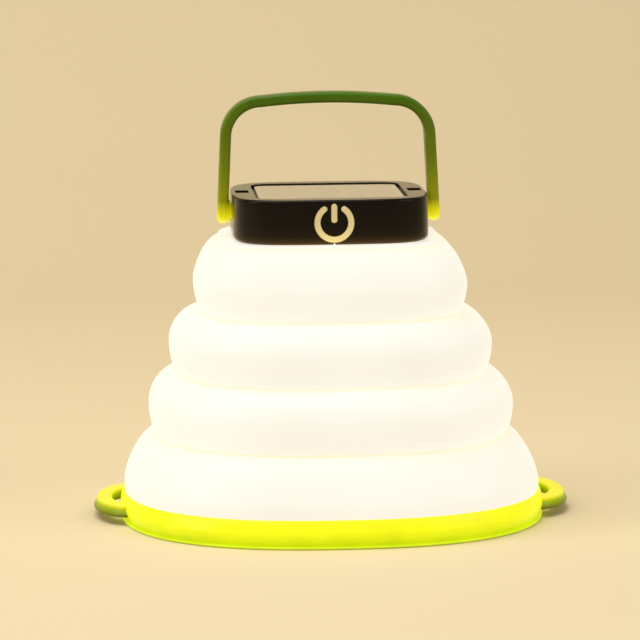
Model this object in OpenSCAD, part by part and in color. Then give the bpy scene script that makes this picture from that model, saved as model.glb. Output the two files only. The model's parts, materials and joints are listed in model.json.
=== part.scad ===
// Collapsible solar lantern: a silicone bellows shade between a base ring and a solar head.
// Origin: centre of the foot on the ground. +Z up, +X towards the right ear, -Y the front
// with the power key. Millimetres.

/* [Base] */
// Half width of the base ring at its widest
base_half = 57.1; // [54:0.1:60]
// Roundness exponent of the base plan, 2 is a circle
base_square = 2.45; // [2.1:0.05:3]
// Height of the base ring's top edge above the ground
ring_top = 7.5; // [7:0.1:9]
// Gap between the ground and the base ring's lower edge
ring_lift = 0.2; // [0.1:0.1:0.6]
// How much narrower the base ring's top edge is, each side
ring_draft = 1.2; // [0.8:0.1:1.6]
// Thickness of the base ring at its top edge
ring_wall = 2.2; // [1.8:0.1:2.8]
// Depth of the groove above the base ring's lower bead
ring_groove = 0.8; // [0.3:0.1:1]
// Thickness of the base plate
plate_t = 1.3; // [1:0.1:1.6]
// Width of the foot rim under the base plate
foot_w = 3; // [2:0.5:5]
// Height of the foot rim
foot_h = 0.8; // [0.6:0.1:1.2]
// Height of the clamp that holds the shade's lower bead
base_clamp_h = 3; // [2:0.1:3.4]
// Width of the shade's lower bead flange
bead_w = 3; // [2.5:0.1:4]

/* [Ears] */
// Reach of an ear's lower edge beyond the base ring
ear_reach = 7.2; // [6:0.1:8]
// How much further an ear's lower edge reaches than its top
ear_flare = 0.8; // [0.4:0.1:1.2]
// Width of an ear where it meets the base ring
ear_root = 37; // [34:0.5:40]
// Length of an ear's hole, front to back
ear_hole_len = 21; // [18:0.5:24]
// Width of an ear's hole beside the base ring
ear_hole_w = 2.4; // [2:0.1:3]
// Thickness of an ear
ear_t = 2.9; // [2.4:0.1:3.6]
// Height of an ear's underside above the ground
ear_lift = 2.3; // [1.6:0.1:2.8]

/* [Shade] */
// Wall thickness of the silicone shade
shade_wall = 1.3; // [1:0.1:1.6]
// Height of the lowest fold of the shade
first_fold_h = 15.2; // [14.5:0.1:16]
// Height of each middle fold
tier_pitch = 16.5; // [15:0.25:18]
// Height of the top fold
top_fold_h = 18.8; // [18:0.1:19.6]
// Half width of the second fold from below
tier2_half = 49.1; // [48:0.1:50.5]
// Half width of the third fold
tier3_half = 43.4; // [42:0.1:44.5]
// Half width of the top fold
tier4_half = 36.6; // [35.5:0.1:38]
// Depth of the groove below each upper fold
groove_in = 2.8; // [2:0.1:3.4]
// Height of a fold's widest line above its groove
bulge_rise = 7.8; // [7:0.1:8.6]
// Width of the collar lip beyond the housing
lip_w = 3.4; // [2.8:0.1:4]
// Depth of the notch under the collar lip
lip_notch = 0.9; // [0.6:0.1:1.2]
// Width of the shade's top flange inside the collar
flange_w = 6.6; // [6.2:0.1:6.8]

/* [Housing] */
// Half width of the housing
house_half = 26.2; // [25.6:0.1:26.8]
// Roundness exponent of the housing plan
house_square = 4.2; // [3.6:0.1:5]
// Height of the housing
house_h = 11.9; // [11.5:0.1:13]
// Wall thickness of the housing
house_wall = 1.8; // [1.6:0.1:2]
// Thickness of the housing's top skin
skin_t = 1.4; // [1.2:0.1:1.6]
// Radius on the housing's top edge
top_round = 0.8; // [0.5:0.1:1.2]
// Radius on the housing's bottom edge
bottom_round = 1.2; // [0.6:0.1:1.6]
// Thickness of the head floor
floor_t = 1.5; // [1.2:0.1:1.6]
// Gap between each clamp screw and the shade's top flange
screw_gap = 0.9; // [0.6:0.1:1.2]
// Radius of a clamp screw's shank
screw_r = 1; // [0.8:0.1:1.2]
// Height of the light notch in the front bottom edge
notch_h = 0.7; // [0.4:0.1:1]
// Thickness of the collar clamp
clamp_t = 1.4; // [1.2:0.1:1.8]

/* [Solar panel] */
// Width of the housing's top rim beside the panel recess
panel_rim = 6.05; // [5.95:0.05:6.5]
// Corner radius of the panel recess
panel_corner = 4.5; // [4:0.1:5.5]
// Depth of the panel's surface below the housing's top
panel_sink = 0.3; // [0.2:0.1:1.1]
// Thickness of the panel's clear cover
window_t = 0.5; // [0.4:0.1:0.7]
// Thickness of the panel's circuit board
laminate_t = 1; // [0.8:0.1:1.2]
// Number of solar cell strips
cell_count = 5; // [4:1:6]
// Width of the ledge that carries the panel
ledge_w = 2.2; // [1.8:0.1:2.6]

/* [Handle] */
// Height of the raised handle above the housing
handle_rise = 26.7; // [26.5:0.1:31]
// Distance of the handle's outer face from the housing at its pivots
handle_out = 3.7; // [3.6:0.1:4.8]
// How much narrower the handle is at its top, each side
handle_draft = 1; // [0.5:0.1:1.1]
// Thickness of the handle strap
strap_t = 2.9; // [2.6:0.1:3.1]
// Width of the handle strap
strap_w = 6.8; // [6:0.1:7.4]
// Outer corner radius of the handle
handle_corner = 11; // [9:0.5:12.5]
// Rise of the handle's top bar at its middle
handle_crown = 1; // [0.5:0.1:1.5]
// Depth of the handle pivots below the housing's top
pivot_drop = 5; // [4.8:0.1:5.2]
// Radius of a handle pivot pin
pin_r = 2; // [1.8:0.1:2.1]
// Radius of the boss between a handle leg and the housing
boss_r = 2.9; // [2.5:0.1:3.2]
// Length of a handle pocket, front to back
pocket_len = 6.2; // [5.8:0.1:6.8]
// Width of a handle pocket
pocket_w = 3.4; // [3.3:0.1:3.5]
// Wall between a handle pocket and the housing's side
pocket_wall = 1.3; // [1.2:0.1:1.5]

/* [Power key] */
// Outer radius of the power sign's ring
sign_r = 5.2; // [4.8:0.1:5.3]
// Stroke of the power sign
sign_stroke = 1.5; // [1.2:0.1:1.8]
// Half angle of the gap in the power sign's ring
sign_gap = 36; // [30:1:42]
// Height of the power sign's centre above the housing's bottom edge
sign_rise = 5.9; // [5.8:0.1:6]
// Thickness of the key pad behind the wall
key_t = 1; // [0.8:0.1:1.2]
// Travel of the power key
key_travel = 0.5; // [0.3:0.1:0.6]

/* [Electronics] */
// Thickness of the main board
board_t = 1; // [0.8:0.1:1.2]
// Gap between the battery and the screw columns beside it
battery_side = 0.4; // [0.3:0.1:1.5]
// Free length in front of the battery and behind it
battery_room = 1.9; // [1.5:0.1:4]
// Thickness of the battery
battery_t = 4; // [3.4:0.1:4.2]
// Width of the head floor beside the lens opening
lens_rim = 10.4; // [10:0.1:12]
// Number of light chips
led_count = 8; // [6:1:10]
// Distance of the light chips' centres from the lens opening's edge
led_in = 4.5; // [4:0.1:6]
// Width of the charging socket
usb_w = 8.9; // [8.5:0.1:9.2]
// Height of the charging socket
usb_h = 3.2; // [3:0.1:3.3]

/* [Port cover] */
// Half width of the port recess
port_half = 7.6; // [7:0.1:8]
// Height of the port recess below the cover's hinge
port_h = 5.5; // [5.2:0.1:5.6]
// Depth of the port recess
port_deep = 0.8; // [0.6:0.1:1]
// Thickness of the rubber flap
flap_t = 1.2; // [1:0.1:1.4]

/* [Hidden] */

// Fits
fit = 0.1;           // pieces of one body beside each other
seat = 0.2;          // rubber or silicone beside a rigid seat
slide_gap = 0.3;     // pieces that move past each other
pin_clear = 0.05;    // radial clearance of a pin in its bore
pierce = 1;          // how far a cut runs past the face it opens

// Plan and curve steps
plan_steps = 64;
arc_steps = 6;
fold_steps = 5;
low_steps = 4;
round_steps = 3;
ear_steps = 12;
$fn = 48;

// Base
ring_bead = 0.3;     // radius of the bead on the base ring's lower edge
bead_back = 0.5;     // how far the bead's ends lie inside the ring's widest line
ring_ease = 0.2;     // how much narrower the ring is below its widest line
widest_up = 3.8;     // height of the widest line above the lower edge
ring_step = 4 * ring_bead;
ear_sink = 1.4;      // how far the ears run into the base ring
ear_lip = 0.7;       // height of an ear's straight lower edge
ear_ramp = 1;        // height over which the ear narrows above it

// Shade
tiers = 4;
top_half = base_half - ring_draft;
skirt_half = top_half - ring_wall - fit;
bead_z = foot_h + plate_t + fit;
lip_half = house_half + lip_w;
lip_round = 0.5;     // radius on the collar lip's upper edge
round_mid = 0.3;     // share of a rounding's radius left at the middle of its arc
low_rise = 2.5;      // height of the lowest fold's widest line above the base ring
bulge_z0 = ring_top + low_rise;
fold_fullness = [1.3, 1.9, 1.9, 1.3]; // of each fold's upper side; 2 is a quarter of an ellipse
square_power = 3.5;  // how late the plan turns from the base's roundness to the housing's
shade_top = ring_top + first_fold_h + (tiers - 2) * tier_pitch + top_fold_h;
flange_half = house_half - flange_w;
collar_land = 1;     // width of the flange's underside beside the top fold

// Head levels
lip_rise = 0.9;      // height of the collar lip above the top groove
head_z = shade_top + lip_rise;
head_top = head_z + house_h;
inner_half = house_half - house_wall;
skin_z = head_top - skin_t;
floor_z = head_z + floor_t;
board_up = 1.1;      // gap between the head floor and the main board
board_z = floor_z + board_up;
board_top = board_z + board_t;

// Panel
panel_half = house_half - panel_rim;
window_top = head_top - panel_sink;
window_z = window_top - window_t;
cell_t = 0.2;
cell_margin = 2;     // distance of the cells from the panel's edge
cell_split = 0.5;    // gap between two cell strips
cell_z = window_z - cell_t;
laminate_z = cell_z - laminate_t;
gasket_t = 0.4;
ledge_t = 0.8;
ledge_z = laminate_z - gasket_t - ledge_t;
tray_wall = 1.1;
ledge_half = panel_half - ledge_w;

// Clamp screws and their columns
corner_share = pow(2, -1 / house_square);
screw_at = flange_half * corner_share - screw_gap - screw_r;
column_wall = 1.1;
column_r = screw_r + column_wall;
screw_head_h = 1.2;
screw_short = 1;     // how far the screws end below the panel ledge
clamp_in = 0.6;      // how much narrower the collar clamp is than the housing, each side
clamp_open = 3;      // how much wider the clamp's hole is than the lens opening

// Handle
handle_half = house_half + handle_out;
handle_top = head_top + handle_rise;
pivot_z = head_top - pivot_drop;
pocket_out = house_half - pocket_wall;
pocket_in = pocket_out - pocket_w;
pocket_floor = pivot_z - pin_r - seat;
pocket_skin = 1.2;   // wall round a handle pocket inside the housing
pocket_base = 1;     // thickness of a pocket's floor
clip_t = 1;
clip_drop = 1.2;     // depth of the clips' top below the housing's top
clip_side = 0.2;     // gap between a clip and the pin, each side
clip_slot = 0.15;    // how much wider the clip's slot is than the neck, each side
clip_lift = 0.05;    // gap between a clip and the pocket's floor
neck_step = 0.7;     // depth of the neck in the pin
neck_cover = 0.6;    // length of the pin between the neck and the pocket's outer wall
neck_r = pin_r - neck_step;
neck_out = pocket_out - neck_cover;
neck_in = neck_out - clip_t - 2 * clip_side;
pin_end = pocket_in + slide_gap;
edge_step = 0.3;     // size of each step on the strap's edges

// Power key
sign_z = head_z + sign_rise;
wall_rest = 0.05;    // gap between a flap or pad at rest and the wall it lies on
key_front = wall_rest - inner_half;
key_back = key_front + key_t;
key_proud = 0.15;    // how far the sign stands out of the housing
key_margin = 1.1;    // width of the key pad beside the sign
key_half = sign_r + key_margin;
key_up = 0.5;        // height of the pad's lower edge above the housing's
key_low = head_z + key_up;
key_high = skin_z - slide_gap;
key_corner = 1.5;
bar_drop = 0.2;      // depth of the bar's top below the ring's outer edge
sign_fit = 0.12;     // gap between the sign and its slots in the housing
cap_step = 0.02;     // round ends of the sign's strokes stay this much inside their edges

// Switch
switch_h = 3.4;
switch_w = 6;
switch_deep = 2.8;
switch_back = 0.6;   // thickness of the switch's back wall
switch_z = board_top + switch_h / 2 + fit;
switch_gap = 1.2;    // distance between the key pad and the switch
switch_front = key_back + switch_gap;
plunger_r = 1.1;
plunger_in = 1;      // how deep the plunger sits in the switch

// Port
socket_up = 0.15;    // gap between the main board and the charging socket
port_z = board_top + usb_h / 2 + socket_up;
port_low = port_z - port_h / 2;
port_corner = 0.5;
mouth_gap = 0.4;     // how much larger the housing's mouth is than the socket, each side
recess_y = house_half - port_deep;
flap_y = recess_y + wall_rest;
flap_half = port_half - seat;
flap_low = port_low + seat;
hinge_z = port_z + port_h / 2 + flap_t / 2;
hinge_y = flap_y + flap_t / 2;
tab_low = hinge_z + flap_t / 2 + seat;
tab_h = 1.4;
tab_top = tab_low + tab_h;
peg_x = 5;           // distance of the tab's two pegs from the middle
peg_r = 0.5;
peg_len = 1.5;
plug_len = 0.8;
plug_side = 0.6;     // how much narrower the plug is than the socket, each side
plug_edge = 0.4;     // how much lower the plug is than the socket, each side
light_side = 4.8;    // distance of the charge light from the port recess
light_x = port_half + light_side;
light_r = 0.95;
light_out = 0.4;     // how far the light guide stands above the recess's floor
light_in = 1;        // how far it reaches inside the wall
socket_in = 0.5;     // distance of the socket's mouth inside the wall
usb_front = inner_half - socket_in;
usb_len = 7;
usb_shell = 0.3;
usb_back = 1;        // thickness of the socket's back
tongue_side = 1.15;  // distance of the tongue's edge from the socket's outside
tongue_t = 0.7;
tongue_in = 1;       // depth of the tongue's tip behind the socket's mouth
end_step = 0.1;      // straight part left at each side of the socket's round ends

// Main board
board_side = 4.8;    // distance of the board's straight sides from the wall
board_end = 1.9;     // distance of its front and back edges from the wall
board_half_x = inner_half - board_side;
board_half_y = inner_half - board_end;
board_edge = 0.6;    // gap between the board's corners and the wall
post_side = 3.7;     // how far the board's posts stand inside the clamp screws
post_end = 5.4;      // distance of the posts from the front and back walls
post_x = screw_at - post_side;
post_y = inner_half - post_end;
post_r = 2;
post_floor = 0.6;    // floor left below a board screw's hole
board_screw_r = 0.8;
board_head_h = 0.9;

// Battery
wire_r = 0.55;
pad_t = 0.4;
pad_in = 2;          // distance of the pad's edge inside the battery's
battery_half = screw_at - column_r - battery_side;
battery_front = switch_front + switch_deep + battery_room;
battery_back = usb_front - usb_len - battery_room;
lead_in = 3.2;       // distance of the first lead from the battery's side
lead_pitch = 2;
lead_x = battery_half - lead_in;
lead_out = 1.2;      // how far the leads come out of the battery
panel_lead_gap = 1.6;
panel_lead_x = battery_half + panel_lead_gap;

// Lamp
lens_r = inner_half - lens_rim;
lens_edge = 1.2;     // width of the lens's rim on the head floor
lens_rim_t = 0.3;
dome_drop = 1.6;     // depth of the lens below the head floor
led_ring = lens_r - led_in;
led_w = 3;
led_t = 0.7;

// Silhouette of the plan: a rounded square between a circle and a square
function plan_point(half, n, a) =
    half / pow(pow(abs(cos(a)), n) + pow(abs(sin(a)), n), 1 / n) * [cos(a), sin(a)];
function plan_ring(half, n) =
    [for (j = [0:plan_steps - 1]) plan_point(half, n, 360 * j / plan_steps)];
function reversed(list) = [for (i = [len(list) - 1:-1:0]) list[i]];

// Shade outline, fold by fold
function square_at(z) = let (t = max(0, min(1, (z - ring_top) / (shade_top - ring_top))))
    base_square + (house_square - base_square) * pow(t, square_power);
function tier_half(i) = [top_half, tier2_half, tier3_half, tier4_half][i];
function groove_half(i) = i < tiers - 1 ? tier_half(i + 1) - groove_in : lip_half - lip_notch;
function groove_z(i) = i < tiers - 1 ? ring_top + first_fold_h + i * tier_pitch : shade_top;
function bulge_z(i) = i == 0 ? bulge_z0 : groove_z(i - 1) + bulge_rise;
function rim_point(half, z) = [half, z, square_at(z)];
function fold_upper(i, inset) = [for (k = [0:fold_steps])
    let (w = cos(90 * k / fold_steps), rise = groove_z(i) - inset - bulge_z(i))
    rim_point(groove_half(i) - inset + (tier_half(i) - groove_half(i)) * w,
        bulge_z(i) + rise * pow(1 - w * w, 1 / fold_fullness[i]))];
function fold_lower(i, inset, first) = [for (k = [first:low_steps - 1])
    let (u = 90 * k / low_steps, drop = bulge_z(i) - groove_z(i - 1) - inset)
    rim_point(groove_half(i - 1) - inset + (tier_half(i) - groove_half(i - 1)) * sin(u),
        bulge_z(i) - drop * cos(u))];
function fold(i, inset, first) =
    concat(i > 0 ? fold_lower(i, inset, first) : [], fold_upper(i, inset));
function shade_side(inset, first) = [for (i = [0:tiers - 1]) each fold(i, inset, first)];

// Closed ring swept round the plan; a profile point is [half width, height, exponent]
module swept_ring(profile) {
    count = len(profile);
    points = [for (p = profile) for (q = plan_ring(p[0], p[2])) [q[0], q[1], p[1]]];
    faces = [for (i = [0:count - 1]) for (j = [0:plan_steps - 1])
        let (up = (i + 1) % count, next = (j + 1) % plan_steps)
        [i * plan_steps + j, up * plan_steps + j, up * plan_steps + next, i * plan_steps + next]];
    polyhedron(points, faces, convexity = 10);
}

// Solid through outlines of equal length at rising levels, with flat ends
module stacked(outlines, levels) {
    count = len(outlines);
    around = len(outlines[0]);
    points = [for (i = [0:count - 1]) for (q = outlines[i]) [q[0], q[1], levels[i]]];
    sides = [for (i = [0:count - 2]) for (j = [0:around - 1])
        let (next = (j + 1) % around)
        [i * around + j, (i + 1) * around + j, (i + 1) * around + next, i * around + next]];
    low = [for (j = [0:around - 1]) j];
    high = [for (j = [around - 1:-1:0]) (count - 1) * around + j];
    polyhedron(points, concat(sides, [low], [high]), convexity = 4);
}

module plan_slab(half, n, low, high) {
    translate([0, 0, low])
        linear_extrude(high - low)
            polygon(plan_ring(half, n));
}

module rounded_plan(half_x, half_y, radius) {
    square([2 * half_x, 2 * (half_y - radius)], center = true);
    square([2 * (half_x - radius), 2 * half_y], center = true);
    for (sx = [-1, 1], sy = [-1, 1])
        translate([sx * (half_x - radius), sy * (half_y - radius)])
            circle(radius);
}

module rounded_slab(half_x, half_y, radius, low, high) {
    translate([0, 0, low])
        linear_extrude(high - low)
            rounded_plan(half_x, half_y, radius);
}

module post(x, y, radius, low, high) {
    translate([x, y, low])
        cylinder(r = radius, h = high - low);
}

module at_screws() {
    for (sx = [-1, 1], sy = [-1, 1])
        translate([sx * screw_at, sy * screw_at, 0])
            children();
}

// A flat shape drawn in X and Z, raised from y_from towards y_to
module facing(y_from, y_to) {
    translate([0, y_to, 0])
        rotate([90, 0, 0])
            linear_extrude(y_to - y_from)
                children();
}

// Base
function half_oval(root, tip, half) =
    [for (k = [-ear_steps:ear_steps]) let (a = 90 * k / ear_steps)
        [root + (tip - root) * cos(a), half * sin(a)]];
function ear_outline(inset) =
    half_oval(top_half - ring_wall / 2, base_half + ear_reach - inset, ear_root / 2 - inset);

module ear() {
    difference() {
        stacked([for (inset = [0, 0, ear_flare, ear_flare]) ear_outline(inset)],
            [ear_lift, ear_lift + ear_lip, ear_lift + ear_lip + ear_ramp, ear_lift + ear_t]);
        translate([0, 0, ear_lift - pierce])
            linear_extrude(ear_t + 2 * pierce) {
                polygon(half_oval(base_half - ear_sink, base_half + ear_hole_w,
                    ear_hole_len / 2));
                polygon(plan_ring(base_half - ear_sink, base_square));
            }
    }
}

module base_ring() {
    in_half = top_half - ring_wall;
    color("yellowgreen") {
        swept_ring([for (p = [
            [in_half, ring_lift],
            [base_half - bead_back, ring_lift],
            [base_half - ring_bead, ring_lift + ring_bead],
            [base_half - bead_back, ring_lift + 2 * ring_bead],
            [base_half - ring_groove, ring_lift + 3 * ring_bead],
            [base_half - ring_ease, ring_lift + widest_up - ring_step],
            [base_half, ring_lift + widest_up],
            [base_half - ring_draft / 2, ring_top - ring_step],
            [top_half, ring_top],
            [in_half, ring_top]]) [p[0], p[1], base_square]]);
        ear();
        mirror([1, 0, 0])
            ear();
    }
}

module base_plate() {
    plate_half = top_half - ring_wall - fit;
    color("white")
        difference() {
            plan_slab(plate_half, base_square, 0, foot_h + plate_t);
            plan_slab(plate_half - foot_w, base_square, -pierce, foot_h);
        }
}

module base_clamp() {
    out_half = skirt_half - shade_wall - fit;
    low = bead_z + shade_wall + fit;
    color("white")
        difference() {
            plan_slab(out_half, base_square, low, low + base_clamp_h);
            plan_slab(out_half - bead_w + shade_wall, base_square, low - pierce,
                low + base_clamp_h + pierce);
        }
}

module bellows() {
    flange_top = head_z - seat;
    flange_low = flange_top - shade_wall;
    lip_in = house_half + slide_gap;
    inner_skirt = skirt_half - shade_wall;
    color("ivory")
        swept_ring(concat(
            [rim_point(skirt_half, bead_z), rim_point(skirt_half, ring_top + fit),
                rim_point(top_half, ring_top + fit)],
            shade_side(0, 1),
            [for (p = [
                [lip_half, head_z - lip_round],
                [lip_half - round_mid * lip_round, head_z - round_mid * lip_round],
                [lip_half - lip_round, head_z],
                [lip_in, head_z],
                [lip_in, flange_top],
                [flange_half, flange_top],
                [flange_half, flange_low],
                [groove_half(tiers - 1) - shade_wall - collar_land, flange_low]])
                [p[0], p[1], house_square]],
            reversed(shade_side(shade_wall, 0)),
            [rim_point(inner_skirt, ring_top + fit + shade_wall),
                rim_point(inner_skirt, bead_z + shade_wall),
                rim_point(inner_skirt - bead_w, bead_z + shade_wall),
                rim_point(inner_skirt - bead_w, bead_z)]));
}

// Housing
module power_sign(grow) {
    mid = sign_r - sign_stroke / 2;
    thick = sign_stroke / 2 + grow;
    cap = thick - cap_step;
    bar = sign_r - sign_stroke - bar_drop;
    reach = 2 * sign_r;
    difference() {
        circle(mid + thick);
        circle(mid - thick);
        polygon([[0, 0], reach * [-sin(sign_gap), cos(sign_gap)], [0, 2 * reach],
            reach * [sin(sign_gap), cos(sign_gap)]]);
    }
    for (s = [-1, 1])
        translate(mid * [s * sin(sign_gap), cos(sign_gap)])
            circle(cap);
    translate([0, sign_stroke / 2]) {
        circle(cap);
        translate([-thick, 0])
            square([2 * thick, bar]);
        translate([0, bar])
            circle(cap);
    }
}

module housing_shell() {
    side = concat(
        [for (k = [0:round_steps]) let (a = 90 * k / round_steps)
            [house_half - bottom_round * (1 - sin(a)), head_z + bottom_round * (1 - cos(a))]],
        [for (k = [0:round_steps]) let (a = 90 * k / round_steps)
            [house_half - top_round * (1 - cos(a)), head_top - top_round * (1 - sin(a))]]);
    difference() {
        stacked([for (p = side) plan_ring(p[0], house_square)], [for (p = side) p[1]]);
        plan_slab(inner_half, house_square, head_z - pierce, skin_z);
    }
}

module pocket_box(grow) {
    for (s = [-1, 1])
        translate([s * (pocket_in + pocket_out) / 2, 0, 0])
            linear_extrude(2 * head_top)
                square([pocket_w + 2 * grow, pocket_len + 2 * grow], center = true);
}

module housing_inside() {
    ledge_top = ledge_z + ledge_t;
    difference() {
        rounded_slab(panel_half + tray_wall, panel_half + tray_wall, panel_corner + tray_wall,
            ledge_z, skin_z + fit);
        rounded_slab(ledge_half, ledge_half, 2 * panel_corner, ledge_z - pierce,
            ledge_top + pierce);
    }
    intersection() {
        pocket_box(pocket_skin);
        plan_slab(inner_half + fit, house_square, pocket_floor - pocket_base, skin_z + fit);
    }
    at_screws()
        translate([0, 0, floor_z])
            cylinder(r = column_r, h = ledge_top - floor_z);
}

module at_pegs() {
    for (s = [-1, 1])
        translate([s * peg_x, (tab_low + tab_top) / 2])
            children();
}

module port_cut() {
    recess_top = tab_top + fit;
    facing(recess_y, house_half + pierce)
        translate([0, (port_low + recess_top) / 2])
            rounded_plan(port_half, (recess_top - port_low) / 2, port_corner);
    facing(inner_half - pierce, house_half)
        translate([0, port_z])
            rounded_plan(usb_w / 2 + mouth_gap, usb_h / 2 + mouth_gap, usb_h / 2);
    facing(inner_half - pierce, house_half) {
        at_pegs()
            circle(peg_r + pin_clear);
        translate([light_x, port_z])
            circle(light_r + pin_clear);
    }
}

module housing() {
    color([0.05, 0.05, 0.05])
        difference() {
            union() {
                housing_shell();
                housing_inside();
            }
            rounded_slab(panel_half, panel_half, panel_corner, ledge_z + ledge_t,
                head_top + pierce);
            intersection() {
                pocket_box(0);
                rounded_slab(house_half, house_half, 1, pocket_floor, head_top + pierce);
            }
            for (s = [-1, 1])
                translate([s * house_half, 0, pivot_z])
                    rotate([0, 90, 0])
                        cylinder(r = pin_r + pin_clear, h = 2 * (pocket_wall + fit),
                            center = true);
            at_screws()
                translate([0, 0, floor_z - pierce])
                    cylinder(r = screw_r + pin_clear, h = ledge_z - floor_z + pierce);
            facing(-house_half - pierce, key_front + key_travel + 2 * fit) {
                translate([0, sign_z])
                    power_sign(sign_fit);
                translate([0, head_z])
                    polygon([[-notch_h, -fit], [notch_h, -fit], [0, notch_h]]);
            }
            port_cut();
        }
}

module board_post_places(sides) {
    for (sx = [-1, 1], sy = sides)
        translate([sx * post_x, sy * post_y, 0])
            children();
}

module head_floor() {
    color("white")
        difference() {
            union() {
                plan_slab(inner_half - fit, house_square, head_z, floor_z);
                board_post_places([-1, 1])
                    translate([0, 0, head_z])
                        cylinder(r = post_r, h = board_z - head_z);
            }
            post(0, 0, lens_r, head_z - pierce, floor_z + pierce);
            translate([-key_half - slide_gap, -house_half, head_z - pierce])
                cube([2 * (key_half + slide_gap), house_half + key_back + 2 * key_travel,
                    floor_t + 2 * pierce]);
            at_screws()
                translate([0, 0, head_z - pierce])
                    cylinder(r = screw_r + fit, h = floor_t + 2 * pierce);
            board_post_places([1])
                translate([0, 0, head_z + post_floor])
                    cylinder(r = board_screw_r + pin_clear, h = board_z - head_z);
        }
}

module collar_clamp() {
    high = head_z - 2 * seat - shade_wall;
    low = high - clamp_t;
    rim_half = flange_half - slide_gap;
    color("white")
        difference() {
            union() {
                plan_slab(house_half - clamp_in, house_square, low, high);
                plan_slab(rim_half, house_square, low, head_z);
            }
            post(0, 0, lens_r + clamp_open, low - pierce, head_z + pierce);
            at_screws()
                translate([0, 0, low - pierce])
                    cylinder(r = screw_r + fit, h = head_z - low + 2 * pierce);
        }
}

module clamp_screws() {
    seat_z = head_z - 2 * seat - shade_wall - clamp_t;
    color("silver")
        at_screws() {
            translate([0, 0, seat_z - screw_head_h])
                cylinder(r = 2 * screw_r, h = screw_head_h);
            translate([0, 0, seat_z - fit])
                cylinder(r = screw_r, h = ledge_z - screw_short - seat_z);
        }
}

// Solar panel
module panel_window() {
    half = panel_half - fit;
    color([0.1, 0.1, 0.12, 0.5])
        rounded_slab(half, half, panel_corner - fit, window_z, window_top);
}

module solar_cells() {
    span = 2 * (panel_half - cell_margin);
    pitch = span / cell_count;
    color("midnightblue")
        for (i = [0:cell_count - 1])
            translate([-span / 2 + pitch * i + cell_split / 2, -span / 2, cell_z])
                cube([pitch - cell_split, span, cell_t]);
}

module solar_laminate() {
    half = panel_half - fit;
    color("darkslategray")
        rounded_slab(half, half, panel_corner - fit, laminate_z, cell_z);
}

module panel_gasket() {
    half = panel_half - fit;
    color("dimgray")
        difference() {
            rounded_slab(half, half, panel_corner - fit, laminate_z - gasket_t, laminate_z);
            rounded_slab(ledge_half, ledge_half, 2 * panel_corner,
                laminate_z - gasket_t - pierce, laminate_z + pierce);
        }
}

module panel_wires() {
    color("red")
        for (s = [-1, 1])
            post(-panel_lead_x, s * lead_pitch, wire_r, board_top, laminate_z);
}

// Battery and board
module battery() {
    color("silver")
        translate([-battery_half, battery_front, board_top + pad_t])
            cube([2 * battery_half, battery_back - battery_front, battery_t]);
}

module battery_pad() {
    color("white")
        translate([pad_in - battery_half, battery_front + pad_in, board_top])
            cube([2 * (battery_half - pad_in), battery_back - battery_front - 2 * pad_in, pad_t]);
}

module battery_wires() {
    bend_z = board_top + pad_t + battery_t / 2;
    color("black")
        for (x = [-lead_x, lead_pitch - lead_x])
            translate([x, battery_back, 0]) {
                translate([0, 0, bend_z])
                    rotate([-90, 0, 0])
                        cylinder(r = wire_r, h = lead_out);
                translate([0, lead_out, bend_z])
                    sphere(wire_r);
                post(0, lead_out, wire_r, board_top, bend_z);
            }
}

module main_board() {
    color("darkgreen")
        difference() {
            intersection() {
                plan_slab(inner_half - board_edge, house_square, board_z, board_top);
                translate([-board_half_x, -board_half_y, board_z - pierce])
                    cube([2 * board_half_x, 2 * board_half_y, board_t + 2 * pierce]);
            }
            at_screws()
                translate([0, 0, board_z - pierce])
                    cylinder(r = column_r + seat, h = board_t + 2 * pierce);
            board_post_places([1])
                translate([0, 0, board_z - pierce])
                    cylinder(r = board_screw_r + fit, h = board_t + 2 * pierce);
        }
}

module board_screws() {
    screw_low = head_z + post_floor + seat;
    color("silver")
        board_post_places([1]) {
            translate([0, 0, board_top])
                cylinder(r = 2 * board_screw_r, h = board_head_h);
            translate([0, 0, screw_low])
                cylinder(r = board_screw_r, h = board_top - screw_low + fit);
        }
}

module led_chips() {
    color("khaki")
        for (i = [0:led_count - 1])
            rotate([0, 0, 360 * i / led_count])
                translate([led_ring - led_w / 2, -led_w / 2, board_z - led_t])
                    cube([led_w, led_w, led_t]);
}

module led_lens() {
    flange_top = floor_z + lens_rim_t;
    body_r = lens_r - fit;
    color([1, 1, 0.95, 0.7])
        rotate_extrude()
            polygon(concat(
                [[0, flange_top], [lens_r + lens_edge, flange_top],
                    [lens_r + lens_edge, floor_z], [body_r, floor_z]],
                [for (k = [0:arc_steps]) let (a = 90 * k / arc_steps)
                    [body_r * cos(a), head_z - dome_drop * sin(a)]]));
}

module switch_body() {
    color("gray")
        difference() {
            facing(switch_front, switch_front + switch_deep)
                translate([0, switch_z])
                    square([switch_w, switch_h], center = true);
            facing(switch_front - pierce, switch_front + switch_deep - switch_back)
                translate([0, switch_z])
                    circle(plunger_r + pin_clear);
        }
}

module usb_socket() {
    color("silver")
        difference() {
            facing(usb_front - usb_len, usb_front)
                translate([0, port_z])
                    rounded_plan(usb_w / 2, usb_h / 2, usb_h / 2 - end_step);
            facing(usb_front - usb_len + usb_back, usb_front + pierce)
                translate([0, port_z])
                    rounded_plan(usb_w / 2 - usb_shell, usb_h / 2 - usb_shell,
                        usb_h / 2 - usb_shell - end_step);
        }
    color("black")
        facing(usb_front - usb_len + usb_back / 2, usb_front - tongue_in)
            translate([0, port_z])
                square([usb_w - 2 * tongue_side, tongue_t], center = true);
}

module charge_light() {
    color("red")
        facing(inner_half - light_in, recess_y + light_out)
            translate([light_x, port_z])
                circle(light_r);
}

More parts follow.
